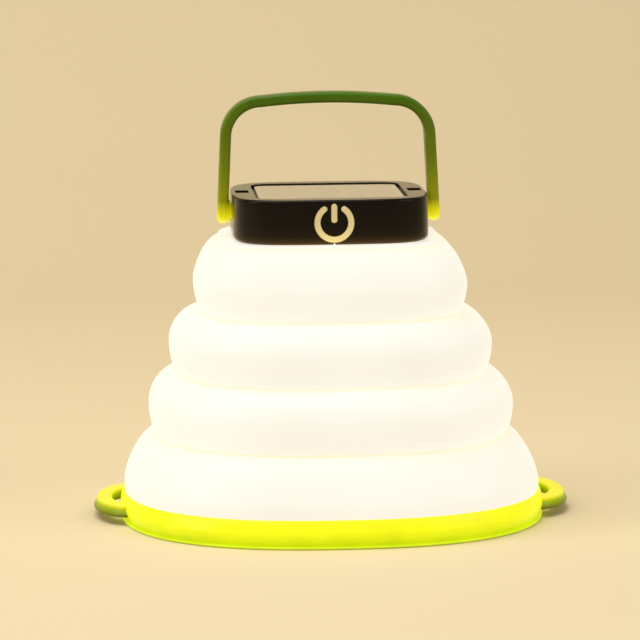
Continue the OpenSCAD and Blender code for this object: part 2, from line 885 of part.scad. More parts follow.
// Handle and its clips
module handle_clips() {
    half_y = pocket_len / 2 - fit;
    low = pocket_floor + clip_lift;
    high = head_top - clip_drop;
    slot = neck_r + clip_slot;
    color([0.08, 0.08, 0.08])
        for (s = [-1, 1])
            translate([s * (neck_out + neck_in) / 2, 0, 0])
                rotate([90, 0, 90])
                    linear_extrude(clip_t, center = true)
                        difference() {
                            translate([-half_y, low])
                                square([2 * half_y, high - low]);
                            translate([0, pivot_z])
                                circle(slot);
                            translate([-slot, low - pierce])
                                square([2 * slot, pivot_z - low + pierce]);
                        }
}

// Right half of the handle's outline, from the pivot up to the middle of the top bar
function bow_side(inset) = let (
    cx = handle_half - handle_draft - handle_corner,
    cz = handle_top - handle_crown - handle_corner)
    concat([[handle_half - inset, pivot_z]],
        [for (k = [0:2 * arc_steps]) let (a = 45 * k / arc_steps)
            [cx + (handle_corner - inset) * cos(a), cz + (handle_corner - inset) * sin(a)]],
        [for (k = [1:arc_steps]) let (x = cx * (1 - k / arc_steps))
            [x, handle_top - inset - handle_crown * pow(x / cx, 2)]]);
function mirrored(list) = [for (p = list) [-p[0], p[1]]];

module bow(inset) {
    outer = bow_side(inset);
    inner = bow_side(strap_t - inset);
    polygon(concat(outer, reversed(mirrored(outer)), mirrored(inner), reversed(inner)));
}

module handle() {
    color("olivedrab") {
        for (k = [0:2])
            facing(-strap_w / 2 + edge_step * k, strap_w / 2 - edge_step * k)
                bow(edge_step * (2 - k));
        for (s = [-1, 1])
            translate([0, 0, pivot_z])
                rotate([0, s * 90, 0]) {
                    translate([0, 0, handle_half - strap_t])
                        cylinder(r = strap_w / 2, h = strap_t);
                    translate([0, 0, house_half + slide_gap])
                        cylinder(r = boss_r, h = handle_half - strap_t - house_half);
                    translate([0, 0, neck_out])
                        cylinder(r = pin_r, h = house_half + 2 * slide_gap - neck_out);
                    translate([0, 0, neck_in])
                        cylinder(r = neck_r, h = neck_out - neck_in + fit);
                    translate([0, 0, pin_end])
                        cylinder(r = pin_r, h = neck_in - pin_end);
                }
    }
}

// Power key
module power_key() {
    color("wheat") {
        facing(key_front, key_back)
            translate([0, (key_low + key_high) / 2])
                rounded_plan(key_half, (key_high - key_low) / 2, key_corner);
        facing(-house_half - key_proud, key_front + fit)
            translate([0, sign_z])
                power_sign(0);
    }
}

module switch_plunger() {
    color("black")
        facing(key_back, switch_front + plunger_in)
            translate([0, switch_z])
                circle(plunger_r);
}

// Port cover
module port_anchor() {
    color("black") {
        facing(recess_y, flap_y + flap_t - fit)
            translate([-flap_half, tab_low])
                square([2 * flap_half, tab_h]);
        facing(recess_y - peg_len, recess_y + fit)
            at_pegs()
                circle(peg_r);
    }
}

module port_cover() {
    color("black") {
        facing(flap_y, flap_y + flap_t)
            translate([0, (flap_low + hinge_z) / 2])
                rounded_plan(flap_half, (hinge_z - flap_low) / 2, port_corner);
        translate([-flap_half, hinge_y, hinge_z])
            rotate([0, 90, 0])
                cylinder(r = flap_t / 2, h = 2 * flap_half);
        facing(flap_y - plug_len, flap_y + fit)
            translate([0, port_z])
                rounded_plan(usb_w / 2 - plug_side, usb_h / 2 - plug_edge,
                    usb_h / 2 - plug_side);
    }
}

base_ring();
base_plate();
base_clamp();
bellows();
housing();
head_floor();
collar_clamp();
clamp_screws();
panel_window();
solar_cells();
solar_laminate();
panel_gasket();
panel_wires();
battery();
battery_pad();
battery_wires();
main_board();
board_screws();
led_chips();
led_lens();
switch_body();
usb_socket();
charge_light();
handle_clips();
port_anchor();
handle();
power_key();
switch_plunger();
port_cover();
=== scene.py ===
"""Looks of a collapsible solar camping lantern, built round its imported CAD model.

Sizes are in millimetres in the lantern's own frame and become metres in the meshes: +Z up,
+X towards the right ear, -Y the front with the power key, origin at the centre of the foot.
"""

import json
import logging
from collections.abc import Callable, Iterable, Sequence
from dataclasses import dataclass, field
from enum import Enum
from math import cos, pi, radians, sin, sqrt
from typing import Protocol

import bmesh
import bpy
from mathutils import Matrix, Vector


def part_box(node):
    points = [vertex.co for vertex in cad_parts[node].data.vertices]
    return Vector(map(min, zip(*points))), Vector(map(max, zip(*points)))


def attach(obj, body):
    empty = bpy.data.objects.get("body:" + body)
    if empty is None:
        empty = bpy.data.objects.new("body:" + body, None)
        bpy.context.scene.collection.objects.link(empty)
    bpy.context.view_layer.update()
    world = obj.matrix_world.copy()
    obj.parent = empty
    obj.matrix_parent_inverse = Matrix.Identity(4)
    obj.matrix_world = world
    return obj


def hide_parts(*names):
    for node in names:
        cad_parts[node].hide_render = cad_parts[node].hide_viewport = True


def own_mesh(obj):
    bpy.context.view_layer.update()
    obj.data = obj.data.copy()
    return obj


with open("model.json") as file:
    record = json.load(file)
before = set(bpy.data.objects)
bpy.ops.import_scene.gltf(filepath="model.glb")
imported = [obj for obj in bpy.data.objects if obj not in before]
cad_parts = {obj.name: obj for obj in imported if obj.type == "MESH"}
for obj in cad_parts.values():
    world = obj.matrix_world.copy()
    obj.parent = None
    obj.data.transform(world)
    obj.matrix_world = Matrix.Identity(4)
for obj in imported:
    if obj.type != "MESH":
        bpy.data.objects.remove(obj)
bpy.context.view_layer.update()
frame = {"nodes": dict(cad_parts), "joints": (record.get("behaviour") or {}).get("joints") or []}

Point = tuple[float, float, float]
Flat = tuple[float, float]
Colour = tuple[float, float, float]
Stops = Sequence[tuple[float, Colour]]
Socket = bpy.types.NodeSocket
Thing = bpy.types.Object
Inputs = dict[str | int, object]

MM = 0.001
TURN = 2 * pi
SIDES = (-1, 1)
OVERLAP = 0.1
CAD_CREASE = 32
# Mesh layer that carries the shade's painted glow, dimmed in the creases as painted shade.
PAINTED_GLOW_LAYER = "fold"
CLOUD_REACH = (0.3, 0.7)
MIX_SHARE, MIX_FIRST, MIX_SECOND, MIX_RESULT = 0, 6, 7, 2

log = logging.getLogger("lantern")


# ---------------- outlines


@dataclass(frozen=True)
class Level:
    """Rounded square at one height: a circle at exponent 2, squarer above it."""

    half: float
    height: float
    exponent: float

    def ring(self, steps: int) -> list[Point]:
        """Points round the level.

        Args:
            steps: number of points.

        Returns:
            The points, anticlockwise.
        """
        points = []
        for k in range(steps):
            c, s = cos(TURN * k / steps), sin(TURN * k / steps)
            total = abs(c) ** self.exponent + abs(s) ** self.exponent
            reach = self.half / total ** (1 / self.exponent)
            points.append((reach * c, reach * s, self.height))
        return points


def levels(outline: Iterable[Flat], exponent: float) -> list[Level]:
    """Levels of one squareness from half widths and heights."""
    return [Level(half, height, exponent) for half, height in outline]


def arc(centre: Flat, radius: float, start: float, end: float, steps: int) -> list[Flat]:
    """Points along an arc between two directions in degrees, one more than its stretches."""
    turns = [radians(start + (end - start) * k / steps) for k in range(steps + 1)]
    return [(centre[0] + radius * cos(a), centre[1] + radius * sin(a)) for a in turns]


def rounded_box(half_x: float, half_y: float, radius: float, steps: int = 8,
                middle: Flat = (0, 0)) -> list[Flat]:
    """Rectangle with round corners.

    Args:
        half_x: half width.
        half_y: half height.
        radius: corner radius.
        steps: stretches in each corner.
        middle: where the rectangle's middle lies.

    Returns:
        The outline's points, anticlockwise.
    """
    points: list[Flat] = []
    for sx, sy, start in ((1, 1, 0), (-1, 1, 90), (-1, -1, 180), (1, -1, 270)):
        corner = (sx * (half_x - radius), sy * (half_y - radius))
        points += arc(corner, radius, start, start + 90, steps)
    return [(x + middle[0], y + middle[1]) for x, y in points]


def eased(corners: Sequence[Flat], radius: float, steps: int) -> list[Flat]:
    """Closed outline with each corner rounded off by a short curve.

    Args:
        corners: the sharp outline.
        radius: how far from a corner its curve starts, at most.
        steps: stretches in each curve.

    Returns:
        The rounded outline.
    """
    points: list[Flat] = []
    count = len(corners)
    for k in range(count):
        before, here, after = (Vector(corners[(k + d) % count]) for d in (-1, 0, 1))
        reach = min(radius, (before - here).length / 2, (after - here).length / 2)
        start = here + (before - here).normalized() * reach
        end = here + (after - here).normalized() * reach
        for t in (i / steps for i in range(steps + 1)):
            spot = start * (1 - t) ** 2 + here * 2 * t * (1 - t) + end * t**2
            points.append((spot.x, spot.y))
    return points


# ---------------- meshes


class Facing(Enum):
    """Direction in which an outline is raised: axes of its two coordinates and of its level."""

    UP = (0, 1, 2)
    FRONT = (0, 2, 1)

    def place(self, point: Flat, level: float) -> Point:
        """Turn a flat point at a level into a point in space."""
        spot = dict(zip(self.value, (*point, level)))
        return spot[0], spot[1], spot[2]


class Meeting(Enum):
    """What tools do to the piece that they meet."""

    CUT = "DIFFERENCE"
    FUSE = "UNION"


def placed(name: str, data: bpy.types.ID) -> Thing:
    """Put an object into the scene.

    Args:
        name: name of the object.
        data: its mesh, lamp or camera.

    Returns:
        The object.
    """
    thing = bpy.data.objects.new(name, data)
    bpy.context.scene.collection.objects.link(thing)
    return thing


def new_mesh(name: str, points: Iterable[Point],
             faces: Iterable[Sequence[int]]) -> Thing:
    """Make a mesh object with its faces turned outwards.

    Args:
        name: name of the object.
        points: corners in millimetres.
        faces: corner numbers of each face.

    Returns:
        The object, in metres.
    """
    mesh = bpy.data.meshes.new(name)
    mesh.from_pydata([tuple(MM * c for c in p) for p in points], [], [tuple(f) for f in faces])
    shape = bmesh.new()
    shape.from_mesh(mesh)
    bmesh.ops.recalc_face_normals(shape, faces=shape.faces)
    shape.to_mesh(mesh)
    shape.free()
    return placed(name, mesh)


def skin(name: str, rings: Sequence[Sequence[Point]], loop: bool = False) -> Thing:
    """Join rings of equal length by quads.

    Args:
        name: name of the object.
        rings: closed rings of points.
        loop: True joins the last ring to the first, False closes both ends with a face.

    Returns:
        A closed mesh object.
    """
    around = len(rings[0])
    points = [p for ring in rings for p in ring]
    faces: list[Sequence[int]] = []
    for i in range(len(rings) if loop else len(rings) - 1):
        low, high = i * around, ((i + 1) % len(rings)) * around
        for j in range(around):
            k = (j + 1) % around
            faces.append((low + j, low + k, high + k, high + j))
    if not loop:
        faces.append(range(around))
        faces.append(range(len(points) - around, len(points)))
    return new_mesh(name, points, faces)


def swept(name: str, profile: Sequence[Level], steps: int, loop: bool = True) -> Thing:
    """Sweep a side profile round the lantern, closed by loop or else with flat ends."""
    return skin(name, [level.ring(steps) for level in profile], loop)


def raised(name: str, facing: Facing,
           layers: Sequence[tuple[Sequence[Flat], float]]) -> Thing:
    """Raise outlines of equal length through a row of levels."""
    return skin(name, [[facing.place(p, level) for p in outline] for outline, level in layers])


def block(facing: Facing, outline: Sequence[Flat], low: float, high: float) -> Thing:
    """Raise one outline from a level to another."""
    return raised("block", facing, [(outline, low), (outline, high)])


def turned(profile: Sequence[Flat], height: float, steps: int = 64) -> Thing:
    """Turn a profile about an axis along X.

    Args:
        profile: radius and x of each point, from one end of the axis to the other.
        height: height of the axis.
        steps: number of stretches round it.

    Returns:
        A closed mesh object.
    """
    turns = [TURN * k / steps for k in range(steps)]
    return skin("turned", [[(x, radius * cos(a), height + radius * sin(a)) for a in turns]
                           for radius, x in profile])


def joined(name: str, things: Sequence[Thing]) -> Thing:
    """Join objects into one piece.

    Args:
        name: name of the joined piece.
        things: the objects, which are used up.

    Returns:
        The joined object.
    """
    shape = bmesh.new()
    for thing in things:
        shape.from_mesh(thing.data)
        bpy.data.objects.remove(thing)
    mesh = bpy.data.meshes.new(name)
    shape.to_mesh(mesh)
    shape.free()
    return placed(name, mesh)


def apply_tools(thing: Thing, meeting: Meeting,
                tools: Iterable[Thing]) -> None:
    """Cut tools out of a piece or fuse them into it.

    Args:
        thing: the piece.
        meeting: what the tools do.
        tools: the tools, which are used up one after the other.
    """
    for tool in tools:
        modifier = thing.modifiers.new("tool", "BOOLEAN")
        modifier.operation = meeting.value
        modifier.solver = "EXACT"
        modifier.object = tool
        with bpy.context.temp_override(object=thing, active_object=thing,
                                       selected_objects=[thing]):
            bpy.ops.object.modifier_apply(modifier=modifier.name)
        bpy.data.objects.remove(tool)


def paint(thing: Thing, values: Sequence[float]) -> None:
    """Paint the glow layer of a mesh with painted brightness, one value for each corner."""
    layer = thing.data.attributes.new(PAINTED_GLOW_LAYER, "FLOAT", "POINT")
    layer.data.foreach_set("value", values)


def soften(thing: Thing, crease: float) -> None:
    """Shade a piece smoothly up to an edge angle.

    Args:
        thing: the piece.
        crease: edges that turn more than this many degrees stay crisp.
    """
    thing.data.shade_smooth()
    thing.data.set_sharp_from_angle(angle=radians(crease))
    thing.modifiers.new("normals", "WEIGHTED_NORMAL").keep_sharp = True


# ---------------- nodes


@dataclass(frozen=True)
class Clouds:
    """Cloudy variation between two factors.

    width is that of a cloud in millimetres, layers the number of finer clouds on it.
    """

    width: float
    layers: float = 3
    low: float = 0.0
    high: float = 1.0


class Nodes:
    """A node tree, with short calls that make nodes and fill their inputs."""

    def __init__(self, owner: bpy.types.Material | bpy.types.World) -> None:
        """Take up the tree of a new material or world."""
        owner.use_nodes = True
        self.tree = owner.node_tree

    def fill(self, node: bpy.types.Node, inputs: Inputs) -> None:
        """Fill inputs of a node.

        Args:
            node: the node.
            inputs: name or number of each input, with its value or the socket that feeds it.
        """
        for key, value in inputs.items():
            if isinstance(value, Socket):
                self.tree.links.new(value, node.inputs[key])
            else:
                node.inputs[key].default_value = value

    def node(self, kind: str, inputs: Inputs, operation: str = "") -> bpy.types.Node:
        """Make a node.

        Args:
            kind: Blender's name of the kind of node, after "ShaderNode".
            inputs: what fills its inputs.
            operation: what a mathematical node works out.

        Returns:
            The node.
        """
        node = self.tree.nodes.new("ShaderNode" + kind)
        if operation:
            node.operation = operation
        self.fill(node, inputs)
        return node

    def show(self, output: str, share: Socket, first: Socket, second: Socket) -> None:
        """Send a mix of two surfaces to the tree's output, the second one by its share."""
        mix = self.node("MixShader", {0: share, 1: first, 2: second})
        self.fill(self.tree.nodes[output], {"Surface": mix.outputs[0]})


class Shader(Nodes):
    """A material's nodes, with short calls for those that the finishes use."""

    def __init__(self, name: str) -> None:
        """Make the material.

        Args:
            name: name of the material.
        """
        self.material = bpy.data.materials.new(name)
        super().__init__(self.material)
        self.surface = self.tree.nodes["Principled BSDF"]
        self.coordinates = self.node("TexCoord", {}).outputs["Object"]

    def noise(self, clouds: Clouds) -> Socket:
        """Cloudy value around 0.5.

        Args:
            clouds: the clouds.

        Returns:
            The value's socket.
        """
        return self.node("TexNoise", {
            "Scale": 1 / (clouds.width * MM), "Detail": clouds.layers,
            "Vector": self.coordinates}).outputs["Fac"]

    def along(self, axis: str) -> Socket:
        """Coordinate along X, Y or Z, in metres."""
        return self.node("SeparateXYZ", {"Vector": self.coordinates}).outputs[axis]

    def maths(self, operation: str, first: object, second: object = 0.0) -> Socket:
        """Result of one operation on sockets or numbers."""
        return self.node("Math", {0: first, 1: second}, operation).outputs["Value"]

    def mapped(self, value: Socket, start: Flat, end: Flat = (0.0, 1.0)) -> Socket:
        """Value brought from one range into another and kept within it."""
        ranges = dict(zip(("From Min", "From Max", "To Min", "To Max"), (*start, *end)))
        return self.node("MapRange", {"Value": value, **ranges}).outputs["Result"]

    def ramp(self, value: Socket, reach: Flat, stops: Stops) -> Socket:
        """Colour that follows a value.

        Args:
            value: the value.
            reach: the values at the ramp's start and end.
            stops: place from 0 to 1 and colour of each stop.

        Returns:
            The colour's socket.
        """
        node = self.node("ValToRGB", {"Fac": self.mapped(value, reach)})
        elements = node.color_ramp.elements
        while len(elements) < len(stops):
            elements.new(0.5)
        for element, (place, colour) in zip(elements, stops):
            element.position = place
            element.color = (*colour, 1)
        return node.outputs["Color"]

    def by_height(self, stops: Stops) -> Socket:
        """Colour that follows the height.

        Args:
            stops: height in millimetres and colour of each stop, from below.

        Returns:
            The colour's socket.
        """
        low, high = stops[0][0], stops[-1][0]
        shares = [((height - low) / (high - low), colour) for height, colour in stops]
        return self.ramp(self.along("Z"), (low * MM, high * MM), shares)

    def mottled(self, clouds: Clouds, colour: Colour) -> Socket:
        """Colour scaled by clouds."""
        ends = [tuple(factor * c for c in colour) for factor in (clouds.low, clouds.high)]
        return self.ramp(self.noise(clouds), CLOUD_REACH, list(enumerate(ends)))

    def spread(self, clouds: Clouds, value: float = 1.0) -> Socket:
        """Value scaled by clouds."""
        ends = (value * clouds.low, value * clouds.high)
        return self.mapped(self.noise(clouds), CLOUD_REACH, ends)

    def times(self, colour: Socket, value: Socket) -> Socket:
        """Colour scaled by a value."""
        return self.node("VectorMath", {0: colour, "Scale": value}, "SCALE").outputs["Vector"]

    def finished(self, relief: Socket, depth: float, inputs: Inputs) -> bpy.types.Material:
        """Fill the surface's inputs and give it a fine relief.

        Args:
            relief: height of the relief.
            depth: its depth in millimetres.
            inputs: what fills the other inputs.

        Returns:
            The material.
        """
        bump = self.node("Bump", {"Distance": depth * MM, "Height": relief})
        self.fill(self.surface, {"Normal": bump.outputs["Normal"], **inputs})
        return self.material

    def clear_from_behind(self) -> None:
        """Let the surface be seen through from its back."""
        back = self.node("NewGeometry", {}).outputs["Backfacing"]
        clear = self.node("BsdfTransparent", {}).outputs[0]
        self.show("Material Output", back, self.surface.outputs[0], clear)


# ---------------- finishes


class Finish(Protocol):
    """Anything that can dress a piece."""

    def material(self) -> bpy.types.Material:
        """Build the finish's material."""


@dataclass(frozen=True)
class Moulded:
    """A plain moulded plastic or rubber, slightly uneven in colour and gloss."""

    name: str
    colour: Colour
    roughness: float
    relief: float = 0.01
    grain: Clouds = Clouds(0.35, 2)
    mottle: Clouds = Clouds(14, 4, 0.92, 1.08)
    gloss: Clouds = Clouds(5, 3, 0.85, 1.2)
    constants: tuple[tuple[str, float], ...] = ()

    def material(self) -> bpy.types.Material:
        """Build the material.

        Returns:
            The material.
        """
        shader = Shader(self.name)
        return shader.finished(shader.noise(self.grain), self.relief, {
            "Base Color": shader.mottled(self.mottle, self.colour),
            "Roughness": shader.spread(self.gloss, self.roughness),
            **dict(self.constants)})


@dataclass(frozen=True)
class LitSilicone:
    """Milky shade silicone, painted glow from inside: white on the folds, warm painted shade in
    creases.

    light follows the painted glow layer, 0 in a crease and 1 on the crest of a fold.
    """

    name: str
    milk: Stops
    light: Stops
    glow: float
    specular: float = 0.3
    relief: float = 0.012
    grain: Clouds = Clouds(0.5, 2)
    milk_clouds: Clouds = Clouds(22)
    light_clouds: Clouds = Clouds(30, 2, 0.98, 1.02)
    roughness: Clouds = Clouds(4, 3, 0.38, 0.5)

    def material(self) -> bpy.types.Material:
        """Build the material.

        Returns:
            The material.
        """
        shader = Shader(self.name)
        fold = shader.node("Attribute", {})
        fold.attribute_name = PAINTED_GLOW_LAYER
        # Painted light: the emission colour follows the glow layer, warm and dim in creases as
        # painted shade.
        light = shader.ramp(fold.outputs["Fac"], (0, 1), self.light)
        return shader.finished(shader.noise(self.grain), self.relief, {
            "Base Color": shader.ramp(shader.noise(self.milk_clouds), CLOUD_REACH, self.milk),
            "Emission Color": shader.times(light, shader.spread(self.light_clouds)),
            "Emission Strength": self.glow,
            "Roughness": shader.spread(self.roughness),
            "Specular IOR Level": self.specular})


@dataclass(frozen=True)
class LitPlastic:
    """Plastic with the shade's light painted on, in glow and base colours that follow the height.
    """

    name: str
    # Base colour by height, holding painted light and shade as well as the plastic's colour.
    body: Stops
    light: Stops
    roughness: float = 0.32
    specular: float = 0.2
    grain: float = 0.4
    relief: float = 0.01
    mottle: Clouds = Clouds(9, 3, 0.94, 1.06)
    gloss: Clouds = Clouds(3, 3, 0.85, 1.15)

    def material(self) -> bpy.types.Material:
        """Build the material.

        Returns:
            The material.
        """
        shader = Shader(self.name)
        clouds = shader.spread(self.mottle)
        # Painted light and shade: base and emission colours follow the height, the emission as a
        # painted glow.
        return shader.finished(shader.noise(Clouds(self.grain, 2)), self.relief, {
            "Base Color": shader.times(shader.by_height(self.body), clouds),
            "Emission Color": shader.times(shader.by_height(self.light), clouds),
            "Emission Strength": 1.0,
            "Roughness": shader.spread(self.gloss, self.roughness),
            "Specular IOR Level": self.specular})


@dataclass(frozen=True)
class Metal(Moulded):
    """Plated metal."""

    relief: float = 0.004
    grain: Clouds = Clouds(1.5, 4)
    mottle: Clouds = Clouds(1.5, 4, 0.9, 1.0)
    gloss: Clouds = Clouds(1.5, 4, 0.8, 1.25)
    constants: tuple[tuple[str, float], ...] = (("Metallic", 1.0),)


@dataclass(frozen=True)
class ClearFilm(Moulded):
    """Clear cover of the solar panel, polished, with a faint haze."""

    grain: Clouds = Clouds(9, 2)
    mottle: Clouds = Clouds(8, 3, 0.94, 1.0)
    gloss: Clouds = Clouds(6, 3, 0.7, 1.4)
    constants: tuple[tuple[str, float], ...] = (
        ("Transmission Weight", 0.92), ("IOR", 1.5), ("Coat Weight", 1.0),
        ("Coat Roughness", 0.04))


@dataclass(frozen=True)
class Silicon:
    """Dark silicon of the cells with the fine contact lines across each strip."""

    name: str
    base: Colour
    line: Colour
    pitch: float
    line_share: float = 0.14
    line_relief: float = 0.02
    specular: float = 0.6
    mottle: Clouds = Clouds(3, 5, 1.0, 1.5)
    roughness: Clouds = Clouds(2, 3, 0.18, 0.3)

    def material(self) -> bpy.types.Material:
        """Build the material.

        Returns:
            The material.
        """
        shader = Shader(self.name)
        wave = shader.maths("FRACT", shader.maths("DIVIDE", shader.along("Y"), self.pitch * MM))
        line = shader.maths("LESS_THAN", wave, self.line_share)
        mix = shader.node("Mix", {})
        mix.data_type = "RGBA"
        shader.fill(mix, {
            MIX_SHARE: line, MIX_SECOND: (*self.line, 1),
            MIX_FIRST: shader.mottled(self.mottle, self.base)})
        return shader.finished(line, self.line_relief, {
            "Base Color": mix.outputs[MIX_RESULT],
            "Roughness": shader.spread(self.roughness),
            "Specular IOR Level": self.specular})


# ---------------- pieces on the lantern


class Body(Enum):
    """The lantern's rigid bodies."""

    BASE = "base"
    HEAD = "head"
    HANDLE = "handle"
    BUTTON = "power_button"


def wear(thing: Thing, finish: Finish) -> None:
    """Give a piece its one material."""
    thing.data.materials.clear()
    thing.data.materials.append(finish.material())


def seat(thing: Thing, body: Body, finish: Finish, crease: float | None,
         stands_for: Sequence[str] = ()) -> None:
    """Dress a piece and fix it to the body that carries it.

    Args:
        thing: the piece.
        body: the body it moves with.
        finish: what it is dressed in.
        crease: edges that turn more than this many degrees stay crisp, with None all of them.
        stands_for: CAD nodes that it replaces.
    """
    if crease is not None:
        soften(thing, crease)
    wear(thing, finish)
    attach(thing, body.value)
    if stands_for:
        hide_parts(*stands_for)
    log.info("%s on %s: %d faces", thing.name, body.value, len(thing.data.polygons))


def dress(finishes: dict[str, Finish]) -> None:
    """Give CAD nodes their finishes and keep their shapes.

    Args:
        finishes: finish of each node.
    """
    for node, finish in finishes.items():
        wear(frame["nodes"][node], finish)
        soften(frame["nodes"][node], CAD_CREASE)
        log.info("%s keeps its CAD shape", node)


def top_of(node: str) -> float:
    """Height of a node's top in millimetres."""
    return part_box(node)[1].z / MM


def floor_of(node: str) -> float:
    """Height of a node's underside in millimetres."""
    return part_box(node)[0].z / MM


def frame_joint(name: str) -> dict:
    """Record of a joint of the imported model."""
    return next(j for j in frame["joints"] if j["name"] == name)


# ---------------- base


@dataclass
class Base:
    """Ring foot with two ears, closed by the base plate.

    ear_side and slot_side list the layers of an ear: how far each lies inside its widest
    outline, or outside its narrowest slot, and how high it lies above the ear's underside.
    """

    exponent: float = 2.45
    half: float = 57.1
    draft: float = 1.2
    wall: float = 2.2
    groove: float = 0.8
    bead: float = 0.3
    bead_back: float = 0.5
    bead_lift: float = 0.01
    bead_turn: float = 105.0
    bead_steps: int = 10
    flank_in: float = 0.2
    widest_up: float = 3.8
    top: float = 7.5
    ease: float = 0.45
    ease_steps: int = 4
    steps: int = 256
    crease: float = 40.0
    ear_reach: float = 7.2
    ear_half: float = 18.5
    ear_low: float = 2.3
    ear_steps: int = 48
    ear_side: tuple[Flat, ...] = (
        (0.35, 0), (0.1, 0.1), (0, 0.35), (0, 0.65), (0.24, 1.05), (0.68, 1.6), (0.8, 2),
        (0.8, 2.45), (0.93, 2.77), (1.25, 2.9))
    slot_start: float = 1.4
    slot_width: float = 2.4
    slot_half: float = 10.5
    slot_side: tuple[Flat, ...] = (
        (0.4, 2.9), (0.12, 2.78), (0, 2.5), (0, 0.35), (0.1, 0.1), (0.35, 0))
    white: Moulded = Moulded("white_moulded_plate", (0.80, 0.81, 0.78), 0.5)
    # Painted light on the ring: a glow brightening upwards, a painted highlight on the bead,
    # painted shade in the groove above it and a darker lower base colour.
    lime: LitPlastic = LitPlastic(
        "lit_lime_ring",
        ((0.2, (0.24, 0.32, 0.002)), (7.5, (0.36, 0.38, 0.004))),
        ((0.2, (0.30, 0.36, 0.004)), (0.55, (0.56, 0.66, 0.02)), (0.85, (0.44, 0.52, 0.004)),
         (1.2, (0.42, 0.48, 0.002)), (2.6, (0.56, 0.60, 0.002)), (4.5, (0.70, 0.68, 0.006)),
         (7.5, (0.72, 0.67, 0.014))))
    # Painted light on the ears: glow and base colour dark at the underside as painted shade,
    # bright on the top as painted light.
    ear_lime: LitPlastic = LitPlastic(
        "lit_lime_ear",
        ((2.3, (0.08, 0.09, 0.003)), (3.2, (0.13, 0.16, 0.002)), (4.2, (0.22, 0.30, 0.002)),
         (4.8, (0.40, 0.40, 0.006)), (5.2, (0.44, 0.42, 0.008))),
        ((2.3, (0.03, 0.03, 0.0)), (3.2, (0.09, 0.11, 0.0)), (4.2, (0.16, 0.22, 0.001)),
         (4.8, (0.36, 0.36, 0.004)), (5.2, (0.50, 0.45, 0.010))))

    def ring(self) -> Thing:
        """Ring with the bead on its lower edge and its soft top edge.

        Returns:
            The ring's mesh.
        """
        low, inner = floor_of("base_ring"), self.half - self.draft - self.wall
        foot, shoulder = low + 3 * self.bead, 4 * self.bead
        flank = eased((
            (inner, foot),
            (self.half - self.groove, foot),
            (self.half - self.flank_in, low + self.widest_up - shoulder),
            (self.half, low + self.widest_up),
            (self.half - self.draft / 2, self.top - shoulder),
            (self.half - self.draft, self.top),
            (inner, self.top)), self.ease, self.ease_steps)
        bead = arc((self.half - self.bead_back, low + self.bead), self.bead - self.bead_lift,
                   -90, self.bead_turn, self.bead_steps)
        return swept("base_ring_band", levels([(inner, low), *bead, *flank], self.exponent),
                     self.steps)

    def ear(self, side: int) -> Thing:
        """Ear with a flared lower edge and a slot beside the ring, layer by layer.

        Args:
            side: 1 for the right ear, -1 for the left one.

        Returns:
            The ear's mesh.
        """
        layers = [(self.draft + self.wall / 2, self.ear_reach - inset, self.ear_half - inset, rise)
                  for inset, rise in self.ear_side]
        layers += [(self.slot_start, self.slot_width + spare, self.slot_half + spare, rise)
                   for spare, rise in self.slot_side]
        rings = [[(side * (self.half - start + (reach + start) * c), half * s, self.ear_low + rise)
                  for start, reach, half, rise in layers]
                 for c, s in arc((0, 0), 1, -90, 90, self.ear_steps)]
        return skin("base_ear_left" if side < 0 else "base_ear_right", rings)

    def build(self) -> None:
        """Make and dress the base."""
        seat(self.ring(), Body.BASE, self.lime, self.crease, ["base_ring"])
        for side in SIDES:
            seat(self.ear(side), Body.BASE, self.ear_lime, self.crease)
        dress({"base_plate": self.white, "base_clamp": self.white})


# ---------------- shade


@dataclass(frozen=True)
class Fold:
    """One fold of the shade: a soft bulge over a sharp crease."""

    bulge_half: float
    bulge_height: float
    groove_half: float
    groove_height: float
    fullness: float


